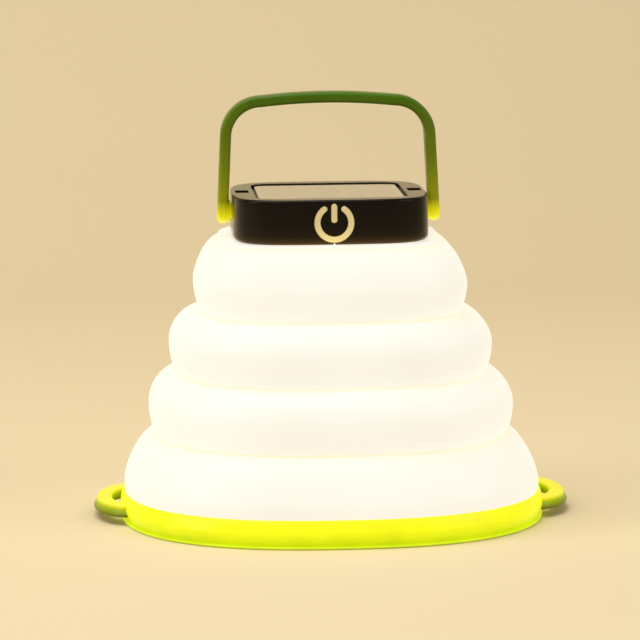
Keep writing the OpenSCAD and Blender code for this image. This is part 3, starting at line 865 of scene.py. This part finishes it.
@dataclass
class Shade:
    """Silicone bellows of four folds that grow squarer and smaller towards the head."""

    ring_top: float = 7.5
    folds: tuple[Fold, ...] = (
        Fold(55.9, 10.0, 46.3, 22.7, 1.3), Fold(49.1, 30.5, 40.6, 39.2, 1.9),
        Fold(43.4, 47.0, 33.8, 55.7, 1.9), Fold(36.6, 63.5, 28.7, 74.5, 1.3))
    wall: float = 1.3
    low_exponent: float = 2.45
    high_exponent: float = 4.2
    power: float = 3.5
    lip_half: float = 29.6
    lip_notch: float = 0.9
    lip_round: float = 0.5
    lip_shoulder: float = 0.3
    collar_in: float = 26.5
    flange_drop: float = 0.2
    flange_lift: float = 0.03
    flange_in: float = 1.0
    opening_half: float = 19.6
    nub: Flat = (0.55, 0.55)
    nub_back: Flat = (4.6, 3.3)
    skirt_half: float = 53.6
    bead_width: float = 3.0
    collar_ease: float = 0.12
    skirt_ease: float = 0.2
    skirt_light: float = 0.3
    foot_fade: float = 5.0
    crease_sharpness: int = 3
    steps: int = 256
    ease_steps: int = 2
    upper_steps: int = 16
    lower_steps: int = 9
    crease: float = 50.0
    # Painted glow of the lit folds: crease, flank and crest colours, darker and warmer in the
    # creases as painted shade.
    silicone: LitSilicone = LitSilicone(
        "lit_milky_silicone",
        ((0, (0.31, 0.30, 0.27)), (1, (0.34, 0.33, 0.30))),
        ((0, (1.0, 0.82, 0.46)), (0.45, (1.0, 0.94, 0.76)), (1, (1.0, 0.97, 0.88))), 0.69)

    @property
    def start(self) -> float:
        """Height of the lowest fold's foot, just above the ring."""
        return self.ring_top + OVERLAP

    @property
    def top(self) -> float:
        """Height of the last groove, below the collar."""
        return self.folds[-1].groove_height

    def level(self, half: float, height: float) -> Level:
        """Point of the side profile, with a plan that grows squarer with the height.

        Args:
            half: half width of the level.
            height: its height.

        Returns:
            The level.
        """
        share = max(0.0, min(1.0, (height - self.ring_top) / (self.top - self.ring_top)))
        gain = (self.high_exponent - self.low_exponent) * share**self.power
        return Level(half, height, self.low_exponent + gain)

    def side(self, inset: float) -> list[Level]:
        """Side of all folds from the ring's edge to the last groove.

        Args:
            inset: distance inwards from the outside.

        Returns:
            The profile's points, from below.
        """
        points = [self.level(self.folds[0].bulge_half - inset, self.start + inset)]
        for before, now in zip((None, *self.folds), self.folds):
            if before:
                drop = now.bulge_height - before.groove_height - inset
                gain = now.bulge_half - before.groove_half
                for k in range(1 if inset == 0 else 0, self.lower_steps):
                    turn = pi / 2 * k / self.lower_steps
                    points.append(self.level(before.groove_half - inset + gain * sin(turn),
                                             now.bulge_height - drop * cos(turn)))
            rise = now.groove_height - inset - now.bulge_height
            for k in range(self.upper_steps + 1):
                w = cos(pi / 2 * k / self.upper_steps)
                half = now.groove_half - inset + (now.bulge_half - now.groove_half) * w
                height = now.bulge_height + rise * (1 - w * w) ** (1 / now.fullness)
                points.append(self.level(half, height))
        return points

    def light(self, level: Level) -> float:
        """Brightness of a level of the folds.

        Args:
            level: point of the side profile.

        Returns:
            0 in a crease, 1 on the crest of a fold.
        """
        # Painted shade: the glow dims into each crease and, on the lowest fold, fades towards its
        # foot by the ring.
        above = sum(level.height > fold.groove_height for fold in self.folds)
        number = min(above, len(self.folds) - 1)
        fold = self.folds[number]
        if number == 0 and level.height <= fold.bulge_height:
            depth = (fold.bulge_height - level.height) / self.foot_fade
        else:
            crease = fold if level.height > fold.bulge_height else self.folds[number - 1]
            depth = (fold.bulge_half - level.half) / (fold.bulge_half - crease.groove_half)
        return 1 - max(0.0, min(1.0, depth)) ** self.crease_sharpness

    def shell(self) -> Thing:
        """The four folds as one thin shell, with their brightness painted on.

        Returns:
            The shell's mesh.
        """
        profile = self.side(0) + self.side(self.wall)[::-1]
        shell = swept("shade_folds", profile, self.steps)
        paint(shell, [self.light(level) for level in profile for _ in range(self.steps)])
        return shell

    def collar(self) -> Thing:
        """Lip round the head, the flange under it and the nub in the light notch below the power
        sign.

        Returns:
            The collar's mesh.
        """
        head, lower = floor_of("housing"), self.top + self.flange_lift
        notch, bevel = self.lip_half - self.lip_notch, self.lip_shoulder * self.lip_round
        corners = (
            (notch, self.top),
            (self.lip_half, head - self.lip_round),
            (self.lip_half - bevel, head - bevel),
            (self.lip_half - self.lip_round, head),
            (self.collar_in, head),
            (self.collar_in, head - self.flange_drop),
            (self.opening_half, head - self.flange_drop),
            (self.opening_half, lower),
            (notch - self.wall - self.flange_in, lower))
        half, height = self.nub
        nub = [(-half, head - OVERLAP), (half, head - OVERLAP), (0, head + height)]
        back, front = (depth - self.lip_half for depth in self.nub_back)
        outline = eased(corners, self.collar_ease, self.ease_steps)
        ring = swept("ring", levels(outline, self.high_exponent), self.steps)
        collar = joined("shade_collar", [ring, block(Facing.FRONT, nub, back, front)])
        # Painted glow at full crest brightness over the whole collar, the nub in the notch too.
        paint(collar, [1.0] * len(collar.data.vertices))
        return collar

    def skirt(self) -> Thing:
        """Lower edge of the shade with its bead, inside the base ring.

        Returns:
            The skirt's mesh.
        """
        low, inner = floor_of("bellows"), self.skirt_half - self.wall
        step, end = low + self.wall, inner - self.bead_width
        corners = ((self.skirt_half, low), (self.skirt_half, self.start), (inner, self.start),
                   (inner, step), (end, step), (end, low))
        outline = eased(corners, self.skirt_ease, self.ease_steps)
        skirt = swept("shade_skirt", levels(outline, self.low_exponent), self.steps)
        # Painted glow, held at a dim even level over the whole skirt.
        paint(skirt, [self.skirt_light] * len(skirt.data.vertices))
        return skirt

    def build(self) -> None:
        """Make and dress the shade."""
        folds = self.shell()
        seat(folds, Body.BASE, self.silicone, self.crease, ["bellows"])
        seat(self.collar(), Body.HEAD, self.silicone, self.crease)
        seat(self.skirt(), Body.BASE, self.silicone, self.crease)
        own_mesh(folds)


# ---------------- power sign


@dataclass(frozen=True)
class PowerSign:
    """The broken ring and bar of the power key, drawn as strokes with round ends."""

    rise: float = 5.9
    radius: float = 5.2
    stroke: float = 1.5
    gap: float = 36.0
    bar_short: float = 0.2
    ring_steps: int = 72
    ring_end_steps: int = 12
    bar_end_steps: int = 16

    @property
    def centre(self) -> Flat:
        """Centre of the sign, in X and Z."""
        return 0, floor_of("housing") + self.rise

    def ring(self, spare: float) -> list[Flat]:
        """Outline of the broken ring.

        Args:
            spare: how much wider the stroke is, each side.

        Returns:
            The outline's points.
        """
        half, middle = self.stroke / 2 + spare, self.radius - self.stroke / 2
        start, end = 90 + self.gap, 450 - self.gap
        first, last = arc(self.centre, middle, start, end, 1)
        return (arc(self.centre, middle + half, start, end, self.ring_steps)
                + arc(last, half, end, end + 180, self.ring_end_steps)[1:-1]
                + arc(self.centre, middle - half, end, start, self.ring_steps)
                + arc(first, half, start + 180, start + 360, self.ring_end_steps)[1:-1])

    def bar(self, spare: float) -> list[Flat]:
        """Outline of the bar.

        Args:
            spare: how much wider the stroke is, each side.

        Returns:
            The outline's points.
        """
        half = self.stroke / 2 + spare
        low = self.centre[1] + self.stroke / 2
        high = low + self.radius - self.bar_short - self.stroke
        return (arc((0, low), half, 180, 360, self.bar_end_steps)
                + arc((0, high), half, 0, 180, self.bar_end_steps))


# ---------------- head


@dataclass
class Head:
    """Glossy casing with the panel recess, the handle pockets and the port.

    rim lists the softened edge of a recess: how far each layer of its cutter lies outside
    the recess and above the casing's top.
    """

    exponent: float = 4.2
    half: float = 26.2
    wall: float = 1.8
    skin: float = 1.4
    top_round: float = 0.8
    bottom_round: float = 1.2
    round_steps: int = 8
    rim: tuple[Flat, ...] = ((0, -0.3), (0.09, -0.12), (0.3, 0), (0.8, 0.5))
    recess_half: float = 20.15
    recess_corner: float = 4.5
    ledge_width: float = 2.2
    ledge_thick: float = 0.8
    ledge_cut: float = 6.0
    tray_wall: float = 1.1
    pocket_in: float = 21.5
    pocket_out: float = 24.9
    pocket_half: float = 3.1
    pocket_depth: float = 7.2
    pocket_corner: float = 0.5
    pocket_walls: Point = (1.0, 1.2, 1.0)
    pocket_wall_steps: int = 2
    pivot_drop: float = 5.0
    pin_radius: float = 2.05
    sign_fit: float = 0.12
    slot_deeper: float = 0.9
    notch: float = 0.7
    port_half: float = 7.6
    port_depth: float = 0.8
    port_spare: float = 0.2
    port_corner: float = 0.5
    socket_height: float = 80.75
    mouth: Flat = (4.85, 2.0)
    mouth_corner: float = 1.95
    mouth_deeper: float = 0.5
    light_x: float = 12.4
    light_radius: float = 1.0
    light_steps: int = 24
    beyond: float = 1.0
    steps: int = 288
    crease: float = 30.0
    # Painted reflection of the glowing shade: a warm brown glow along the casing's lower edge,
    # gone by 80 mm.
    black: LitPlastic = LitPlastic(
        "gloss_black_casing_painted_glow",
        ((75.4, (0.009, 0.006, 0.003)), (87.3, (0.006, 0.004, 0.003))),
        ((75.4, (0.11, 0.06, 0.012)), (76.3, (0.035, 0.018, 0.003)),
         (77.6, (0.008, 0.004, 0.001)), (80.0, (0.0, 0.0, 0.0))), 0.12, 0.12, 0.9, 0.003)
    dark: Moulded = Moulded("dark_moulded_clip", (0.02, 0.02, 0.02), 0.4)
    white: Moulded = Moulded("white_moulded_floor", (0.80, 0.81, 0.78), 0.5)
    steel: Metal = Metal("plated_steel", (0.62, 0.61, 0.58), 0.25)

    @property
    def low(self) -> float:
        """Height of the casing's underside."""
        return floor_of("housing")

    @property
    def high(self) -> float:
        """Height of the casing's top."""
        return top_of("housing")

    @property
    def ledge(self) -> float:
        """Height of the ledge that carries the panel."""
        return floor_of("panel_gasket")

    @property
    def pocket_x(self) -> float:
        """How far out the middle of a pocket lies."""
        return (self.pocket_in + self.pocket_out) / 2

    @property
    def pocket_thin(self) -> float:
        """Half of a pocket's width, left to right."""
        return (self.pocket_out - self.pocket_in) / 2

    def shell(self) -> Thing:
        """Outside of the casing.

        Returns:
            A solid.
        """
        profile: list[Flat] = []
        for radius, height, turn in ((self.bottom_round, self.low + self.bottom_round, -90),
                                     (self.top_round, self.high - self.top_round, 0)):
            profile += arc((self.half - radius, height), radius, turn, turn + 90,
                           self.round_steps)
        return swept("housing_casing", levels(profile, self.exponent), self.steps, loop=False)

    def cavity(self) -> Thing:
        """Hollow of the casing below its top skin.

        Returns:
            The cutter.
        """
        inner = self.half - self.wall
        ends = [(inner, self.low - self.beyond), (inner, self.high - self.skin)]
        return swept("cavity", levels(ends, self.exponent), self.steps // 2, loop=False)

    def inner_walls(self) -> list[Thing]:
        """Tray under the panel and boxes round the two handle pockets.

        Returns:
            The solids.
        """
        top = self.high - self.skin + OVERLAP
        half, corner = self.recess_half + self.tray_wall, self.recess_corner + self.tray_wall
        made = [block(Facing.UP, rounded_box(half, half, corner),
                      self.ledge - self.ledge_thick, top)]
        wall_x, wall_y, floor = self.pocket_walls
        for side in SIDES:
            outline = rounded_box(self.pocket_thin + wall_x, self.pocket_half + wall_y,
                                  self.pocket_corner, self.pocket_wall_steps,
                                  (side * self.pocket_x, 0))
            made.append(block(Facing.UP, outline,
                              self.high - self.pocket_depth - floor, top))
        return made

    def flared(self, half_x: float, half_y: float, corner: float, centre_x: float,
               low: float) -> Thing:
        """Cutter for a recess in the top, with a softened rim.

        Args:
            half_x: half width of the recess.
            half_y: half depth of the recess.
            corner: its corner radius.
            centre_x: where its middle lies.
            low: height of its floor.

        Returns:
            The cutter.
        """
        layers = [(0.0, low)] + [(spare, self.high + rise) for spare, rise in self.rim]
        return raised("recess", Facing.UP, [
            (rounded_box(half_x + spare, half_y + spare, corner + spare, middle=(centre_x, 0)),
             level) for spare, level in layers])

    def top_cutters(self) -> list[Thing]:
        """Recess of the panel, ledge opening and handle pockets.

        Returns:
            The cutters.
        """
        inner = self.recess_half - self.ledge_width
        made = [self.flared(self.recess_half, self.recess_half, self.recess_corner, 0, self.ledge),
                block(Facing.UP, rounded_box(inner, inner, 2 * self.recess_corner),
                      self.high - self.ledge_cut, self.high)]
        for side in SIDES:
            made.append(self.flared(self.pocket_thin, self.pocket_half, self.pocket_corner,
                                    side * self.pocket_x, self.high - self.pocket_depth))
        return made

    def pin_holes(self) -> list[Thing]:
        """Holes of the handle's pivots through the side walls.

        Returns:
            The cutters.
        """
        ends = (self.pocket_out - OVERLAP, self.half + self.beyond)
        return [turned([(self.pin_radius, side * x) for x in ends],
                       self.high - self.pivot_drop) for side in SIDES]

    def front_cutters(self) -> list[Thing]:
        """Slots of the power sign and the light notch in the front edge.

        Returns:
            The cutters.
        """
        sign = PowerSign()
        low = self.low - OVERLAP
        notch = [(-self.notch, low), (self.notch, low), (0, self.low + self.notch)]
        front, back = -self.half - self.beyond, -self.half + self.wall + self.slot_deeper
        return [block(Facing.FRONT, outline, front, back)
                for outline in (sign.ring(self.sign_fit), sign.bar(self.sign_fit), notch)]

    def port_cutters(self) -> list[Thing]:
        """Recess of the port cover, the socket's mouth and the light's hole.

        Returns:
            The cutters.
        """
        low, high = floor_of("port_cover") - self.port_spare, top_of("port_anchor") + OVERLAP
        wide = rounded_box(self.port_half, (high - low) / 2, self.port_corner,
                           middle=(0, (low + high) / 2))
        mouth = rounded_box(*self.mouth, self.mouth_corner, middle=(0, self.socket_height))
        light = arc((self.light_x, self.socket_height), self.light_radius, 0, 360,
                    self.light_steps)[:-1]
        floor, outer = self.half - self.port_depth, self.half + self.beyond
        inner = self.half - self.wall - self.beyond
        return [block(Facing.FRONT, wide, floor, outer),
                block(Facing.FRONT, mouth, inner, floor + self.mouth_deeper),
                block(Facing.FRONT, light, inner, outer)]

    def build(self) -> None:
        """Make and dress the head's casing and the pieces that close it."""
        casing = self.shell()
        apply_tools(casing, Meeting.CUT, [self.cavity()])
        apply_tools(casing, Meeting.FUSE, self.inner_walls())
        apply_tools(casing, Meeting.CUT, self.top_cutters() + self.pin_holes()
                    + self.front_cutters() + self.port_cutters())
        seat(casing, Body.HEAD, self.black, self.crease, ["housing"])
        dress({"handle_clips": self.dark, "head_floor": self.white, "collar_clamp": self.white,
               "clamp_screws": self.steel})


# ---------------- solar panel


@dataclass
class Panel:
    """Solar panel: clear film over five dark strips on a board.

    film_edge lists how far inside its outline and above its top each layer of the film lies.
    """

    half: float = 19.35
    corner: float = 4.0
    border: float = 0.55
    border_thick: float = 0.03
    film_edge: tuple[Flat, ...] = ((0, -0.15), (0.05, -0.04), (0.15, 0))
    crease: float = 40.0
    film: ClearFilm = ClearFilm("clear_panel_film", (0.82, 0.84, 0.86), 0.05)
    print: Moulded = Moulded("black_printed_border", (0.010, 0.010, 0.011), 0.25)
    silicon: Silicon = Silicon("dark_silicon_strips", (0.012, 0.016, 0.035),
                               (0.12, 0.12, 0.13), 2.6)
    laminate: Moulded = Moulded("dark_board_laminate", (0.018, 0.022, 0.03), 0.35)
    foam: Moulded = Moulded("black_foam_tape", (0.02, 0.02, 0.02), 0.9, 0.03, Clouds(0.25, 2))
    red_lead: Moulded = Moulded("red_lead", (0.45, 0.02, 0.015), 0.4)

    def outline(self, inset: float) -> list[Flat]:
        """Outline of the panel, drawn in by a distance."""
        return rounded_box(self.half - inset, self.half - inset, self.corner - inset)

    def window(self) -> Thing:
        """Clear film with a softened upper edge.

        Returns:
            The film's mesh.
        """
        edge = [(inset, top_of("panel_window") + rise) for inset, rise in self.film_edge]
        return raised("panel_film", Facing.UP, [
            (self.outline(inset), level)
            for inset, level in ((0.0, floor_of("panel_window")), *edge)])

    def printed_border(self) -> Thing:
        """Printed border that hides the strips' edges, under the film.

        Returns:
            The border's mesh.
        """
        top = floor_of("panel_window")
        section = ((0, top), (self.border, top), (self.border, top - self.border_thick),
                   (0, top - self.border_thick))
        return skin("panel_border", [[(x, y, level) for x, y in self.outline(inset)]
                                     for inset, level in section], loop=True)

    def build(self) -> None:
        """Make and dress the panel."""
        seat(self.window(), Body.HEAD, self.film, self.crease, ["panel_window"])
        seat(self.printed_border(), Body.HEAD, self.print, None)
        dress({"solar_cells": self.silicon, "solar_laminate": self.laminate,
               "panel_gasket": self.foam, "panel_wires": self.red_lead})


# ---------------- electronics


@dataclass
class Electronics:
    """Board, battery, lamp and switch inside the head."""

    finishes: dict[str, Finish] = field(default_factory=lambda: {
        "battery": Metal("foil_pouch", (0.72, 0.72, 0.74), 0.35),
        "battery_pad": Moulded("white_foam_tape", (0.8, 0.8, 0.76), 0.9, 0.03, Clouds(0.25, 2)),
        "battery_wires": Moulded("black_lead", (0.02, 0.02, 0.02), 0.4),
        "main_board": Moulded("green_solder_mask", (0.015, 0.12, 0.05), 0.3),
        "board_screws": Metal("plated_steel_small", (0.62, 0.61, 0.58), 0.25),
        "led_chips": Moulded("yellow_phosphor", (0.85, 0.66, 0.12), 0.3),
        "led_lens": Moulded("frosted_lens", (0.86, 0.86, 0.82), 0.45),
        "switch_body": Moulded("grey_switch", (0.10, 0.10, 0.10), 0.45),
        "switch_plunger": Moulded("black_plunger", (0.02, 0.02, 0.02), 0.4),
        "usb_socket": Metal("nickel_socket", (0.66, 0.64, 0.60), 0.22),
        "charge_light": Moulded("red_light_guide", (0.5, 0.02, 0.012), 0.15),
    })

    def build(self) -> None:
        """Dress the inner pieces."""
        dress(self.finishes)


# ---------------- handle


@dataclass(frozen=True)
class StrapSpot:
    """One spot of the strap's middle line, in X and Z, with the strap's size there."""

    place: Vector
    half_width: float
    half_thick: float


@dataclass
class Handle:
    """Strap handle with round ends, a boss and a pin at each pivot.

    end_short is the part of a step by which the round ends stop short of a point.
    """

    half: float = 29.9
    draft: float = 1.0
    thick: float = 2.9
    corner: float = 11.0
    crown: float = 1.0
    soft: float = 1.0
    soft_share: float = 0.8
    tip: float = 1.3
    end_steps: int = 18
    end_short: float = 0.1
    leg_steps: int = 12
    corner_steps: int = 18
    crown_steps: int = 10
    soft_steps: int = 5
    house_half: float = 26.2
    play: float = 0.3
    boss: float = 2.9
    boss_bevel: float = 0.15
    boss_foot: float = 0.2
    pin: float = 2.0
    pin_bevel: float = 0.2
    pin_end: float = 21.8
    neck: float = 1.3
    neck_in: float = 22.9
    neck_out: float = 24.3
    hub: float = 0.3
    crease: float = 45.0
    # Painted light on the handle: a warm glow near the pivots and a base colour lighter low on the
    # legs, darker up to the top bar.
    lime: LitPlastic = LitPlastic(
        "lit_lime_handle",
        ((78.0, (0.24, 0.26, 0.003)), (88.0, (0.17, 0.22, 0.002)), (100.0, (0.10, 0.17, 0.001)),
         (114.0, (0.055, 0.14, 0.001))),
        ((78.5, (0.95, 0.87, 0.04)), (81.0, (0.68, 0.58, 0.004)), (85.0, (0.10, 0.08, 0.0)),
         (95.0, (0.03, 0.015, 0.0)), (114.0, (0.0, 0.0, 0.0))))

    @property
    def pivot(self) -> float:
        """Height of the pivots."""
        return frame_joint("handle_swing")["pos_m"][2] / MM

    @property
    def wide(self) -> float:
        """Half width of the strap, front to back."""
        low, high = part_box("handle")
        return (high.y - low.y) / MM / 2

    def line(self) -> list[StrapSpot]:
        """Middle line of the strap from the left end to the right one.

        Returns:
            Its spots.
        """
        lift, wide, pivot, top = self.thick / 2, self.wide, self.pivot, top_of("handle")
        edge = self.half - lift
        centre_x = self.half - self.draft - self.corner
        centre_z = top - self.crown - self.corner
        right: list[StrapSpot] = []
        for k in range(self.end_steps, 0, -1):
            turn = pi / 2 * k / (self.end_steps + self.end_short)
            drop = wide * sin(turn)
            inside = max(0.0, 1 - (wide - drop) / self.tip)
            right.append(StrapSpot(Vector((edge, pivot - drop)), wide * cos(turn),
                                   lift * sqrt(1 - inside**2)))
        places = [(edge - self.draft * t, pivot + (centre_z - pivot) * t)
                  for t in (k / self.leg_steps for k in range(self.leg_steps))]
        places += arc((centre_x, centre_z), self.corner - lift, 0, 90, self.corner_steps)
        for t in (1 - k / self.crown_steps for k in range(1, self.crown_steps + 1)):
            places.append((centre_x * t, top - lift - self.crown * t**2))
        right += [StrapSpot(Vector(place), wide, lift) for place in places]
        left = [StrapSpot(Vector((-spot.place.x, spot.place.y)), spot.half_width, spot.half_thick)
                for spot in right[:-1]]
        return left + right[::-1]

    def strap(self) -> Thing:
        """Strap with rounded edges and round ends.

        Returns:
            The strap's mesh.
        """
        line = self.line()
        rings = []
        for k, spot in enumerate(line):
            before, after = line[max(k - 1, 0)], line[min(k + 1, len(line) - 1)]
            ahead = (after.place - before.place).normalized()
            radius = min(self.soft, self.soft_share * spot.half_width,
                         self.soft_share * spot.half_thick)
            section = rounded_box(spot.half_thick, spot.half_width, radius, self.soft_steps)
            rings.append([(spot.place.x - a * ahead.y, b, spot.place.y + a * ahead.x)
                          for a, b in section])
        return skin("strap", rings)

    def pivots(self) -> list[Thing]:
        """Boss and necked pin on the inside of each leg, from the pin's end outwards.

        Returns:
            Their meshes.
        """
        boss_end = self.house_half + self.play
        inside, leg = self.half - self.thick, self.half - self.thick + OVERLAP
        profile = (
            (self.hub, self.pin_end),
            (self.pin - self.pin_bevel, self.pin_end),
            (self.pin, self.pin_end + self.pin_bevel),
            (self.pin, self.neck_in), (self.neck, self.neck_in),
            (self.neck, self.neck_out), (self.pin, self.neck_out),
            (self.pin, boss_end),
            (self.boss - self.boss_bevel, boss_end),
            (self.boss, boss_end + self.boss_bevel),
            (self.boss, inside - self.boss_foot),
            (self.boss + self.boss_foot, leg), (self.hub, leg))
        return [turned([(radius, side * x) for radius, x in profile], self.pivot)
                for side in SIDES]

    def build(self) -> None:
        """Make and dress the handle."""
        handle = joined("handle_strap_and_pivots", [self.strap(), *self.pivots()])
        seat(handle, Body.HANDLE, self.lime, self.crease, ["handle"])


# ---------------- power key


@dataclass
class PowerKey:
    """Translucent key: a pad behind the wall that carries the raised power sign.

    edge lists how much wider each layer of a stroke is and how far behind the front it lies.
    """

    front: float = 26.35
    edge: tuple[Flat, ...] = ((0, 0.14), (-0.042, 0.042), (-0.14, 0))
    pad_front: float = 24.35
    pad_thick: float = 1.0
    pad_half: float = 6.3
    pad_corner: float = 1.5
    pad_below_top: float = 1.7
    crease: float = 40.0
    # Painted glow of the key: brightest at its lower edge by the light notch, dimming upwards.
    cream: LitPlastic = LitPlastic(
        "lit_cream_key",
        ((75.0, (0.66, 0.54, 0.28)), (86.0, (0.66, 0.55, 0.32))),
        ((75.6, (0.44, 0.34, 0.08)), (77.5, (0.28, 0.22, 0.07)), (82.0, (0.14, 0.11, 0.04)),
         (86.5, (0.11, 0.085, 0.03))), 0.4)

    def stroke(self, outline: Callable[[float], list[Flat]]) -> Thing:
        """One stroke of the sign with softened front edges.

        Args:
            outline: gives the stroke's outline for a spare width.

        Returns:
            The stroke's mesh.
        """
        layers = [(outline(spare), depth - self.front) for spare, depth in self.edge]
        return raised("stroke", Facing.FRONT,
                      [(outline(0.0), OVERLAP - self.pad_front), *layers])

    def pad(self) -> Thing:
        """Pad behind the wall.

        Returns:
            The pad's mesh.
        """
        low = floor_of("power_key")
        high = min(top_of("power_key"), top_of("housing") - self.pad_below_top)
        outline = rounded_box(self.pad_half, (high - low) / 2, self.pad_corner,
                              middle=(0, (low + high) / 2))
        return block(Facing.FRONT, outline, -self.pad_front,
                     self.pad_thick - self.pad_front)

    def build(self) -> None:
        """Make and dress the key."""
        sign = PowerSign()
        key = joined("power_key_sign_and_pad",
                     [self.pad(), self.stroke(sign.ring), self.stroke(sign.bar)])
        seat(key, Body.BUTTON, self.cream, self.crease, ["power_key"])


# ---------------- port cover


@dataclass
class PortCover:
    """Rubber flap over the charging socket, with its fixed tab."""

    rubber: Moulded = Moulded("black_rubber_flap", (0.016, 0.015, 0.014), 0.5, 0.012,
                              Clouds(0.3, 2))

    def build(self) -> None:
        """Dress the flap and its tab."""
        dress({"port_cover": self.rubber, "port_anchor": self.rubber})


# ---------------- studio


@dataclass(frozen=True)
class Lamp:
    """Soft square lamp that faces the lantern."""

    name: str
    spot: Point
    size: float
    watts: float
    aim: Point = (0, 0, 50)
    colour: Colour = (1.0, 0.97, 0.91)

    def hang(self) -> None:
        """Put the lamp in its place."""
        data = bpy.data.lights.new(self.name, "AREA")
        data.shape = "SQUARE"
        data.size = self.size * MM
        data.energy = self.watts
        data.color = self.colour
        place = Vector(self.spot) * MM
        lamp = placed(self.name, data)
        lamp.location = place
        lamp.rotation_mode = "QUATERNION"
        lamp.rotation_quaternion = (Vector(self.aim) * MM - place).to_track_quat("-Z", "Y")


@dataclass
class Studio:
    """Pale floor that sweeps up into a backdrop, soft lamps and the camera."""

    distance: float = 1000.0
    camera_height: float = 187.0
    aim_height: float = 52.1
    azimuth: float = -3.5
    roll: float = -0.5
    focal_px: float = 3732.0
    axis_px: float = 9.2
    frame_px: float = 640.0
    sensor: float = 36.0
    clip: Flat = (50.0, 50000.0)
    floor_half: float = 1300.0
    sweep_start: float = 450.0
    sweep_radius: float = 500.0
    sweep_steps: int = 24
    wall_top: float = 2200.0
    floor_colour: Colour = (0.80, 0.67, 0.44)
    floor_mottle: Clouds = Clouds(400, 2, 0.985, 1.0)
    floor_roughness: Clouds = Clouds(60, 2, 0.65, 0.75)
    floor_specular: float = 0.15
    world_colour: Colour = (1.0, 0.97, 0.90)
    world_strength: float = 0.34
    seen_colour: Colour = (0.40, 0.34, 0.23)
    lamps: tuple[Lamp, ...] = (
        Lamp("over_lamp", (-250, -150, 1100), 900, 9),
        Lamp("left_lamp", (-1100, -300, 500), 700, 4),
        Lamp("right_lamp", (900, -500, 600), 700, 3))

    def camera(self) -> None:
        """Place the camera at the lantern's viewing angle."""
        turn, lean = radians(self.azimuth), radians(self.roll)
        spot = Vector((sin(turn) * self.distance, -cos(turn) * self.distance,
                       self.camera_height))
        ahead = (Vector((0, 0, self.aim_height)) - spot).normalized()
        right = ahead.cross(Vector((0, 0, 1))).normalized()
        up = right.cross(ahead)
        ahead = (ahead - right * self.axis_px / self.focal_px).normalized()
        right = ahead.cross(up).normalized()
        axes = Matrix((right * cos(lean) + up * sin(lean), up * cos(lean) - right * sin(lean),
                       -ahead)).transposed().to_4x4()
        data = bpy.data.cameras.new("camera")
        data.sensor_width = self.sensor
        data.lens = self.focal_px / self.frame_px * self.sensor
        data.clip_start, data.clip_end = (end * MM for end in self.clip)
        camera = placed("camera", data)
        camera.matrix_world = Matrix.Translation(spot * MM) @ axes
        bpy.context.scene.camera = camera

    def backdrop(self) -> None:
        """Lay the pale floor and its sweep up into the backdrop."""
        profile = [(-self.floor_half, 0.0),
                   *arc((self.sweep_start, self.sweep_radius), self.sweep_radius, -90, 0,
                        self.sweep_steps),
                   (self.sweep_start + self.sweep_radius, self.wall_top)]
        points = [(side * self.floor_half, y, z) for y, z in profile for side in SIDES]
        faces = [(2 * k, 2 * k + 1, 2 * k + 3, 2 * k + 2) for k in range(len(profile) - 1)]
        sweep = new_mesh("backdrop", points, faces)
        sweep.data.flip_normals()
        sweep.data.shade_smooth()
        shader = Shader("pale_backdrop")
        shader.fill(shader.surface, {
            "Base Color": shader.mottled(self.floor_mottle, self.floor_colour),
            "Roughness": shader.spread(self.floor_roughness),
            "Specular IOR Level": self.floor_specular})
        shader.clear_from_behind()
        sweep.data.materials.append(shader.material)

    def world(self) -> None:
        """Surround the lantern evenly, with one colour for its light and one that is seen."""
        world = bpy.data.worlds.new("surroundings")
        bpy.context.scene.world = world
        nodes = Nodes(world)
        light = nodes.tree.nodes["Background"]
        nodes.fill(light, {"Color": (*self.world_colour, 1), "Strength": self.world_strength})
        seen = nodes.node("Background", {"Color": (*self.seen_colour, 1)})
        ray = nodes.node("LightPath", {}).outputs
        either = ray["Is Camera Ray"]
        for kind in ("Is Glossy Ray", "Is Transmission Ray"):
            either = nodes.node("Math", {0: either, 1: ray[kind]}, "MAXIMUM").outputs[0]
        nodes.show("World Output", either, light.outputs[0], seen.outputs[0])

    def build(self) -> None:
        """Set up the studio."""
        bpy.context.scene.view_settings.view_transform = "Standard"
        self.camera()
        self.backdrop()
        self.world()
        for lamp in self.lamps:
            lamp.hang()


# ---------------- lantern


def main() -> None:
    """Build the studio and the lantern."""
    logging.basicConfig(level=logging.INFO, format="%(name)s: %(message)s")
    for assembly in (Studio(), Base(), Shade(), Head(), Panel(), Electronics(), Handle(),
                     PowerKey(), PortCover()):
        log.info("building %s", type(assembly).__name__)
        assembly.build()


if __name__ == "__main__":
    main()
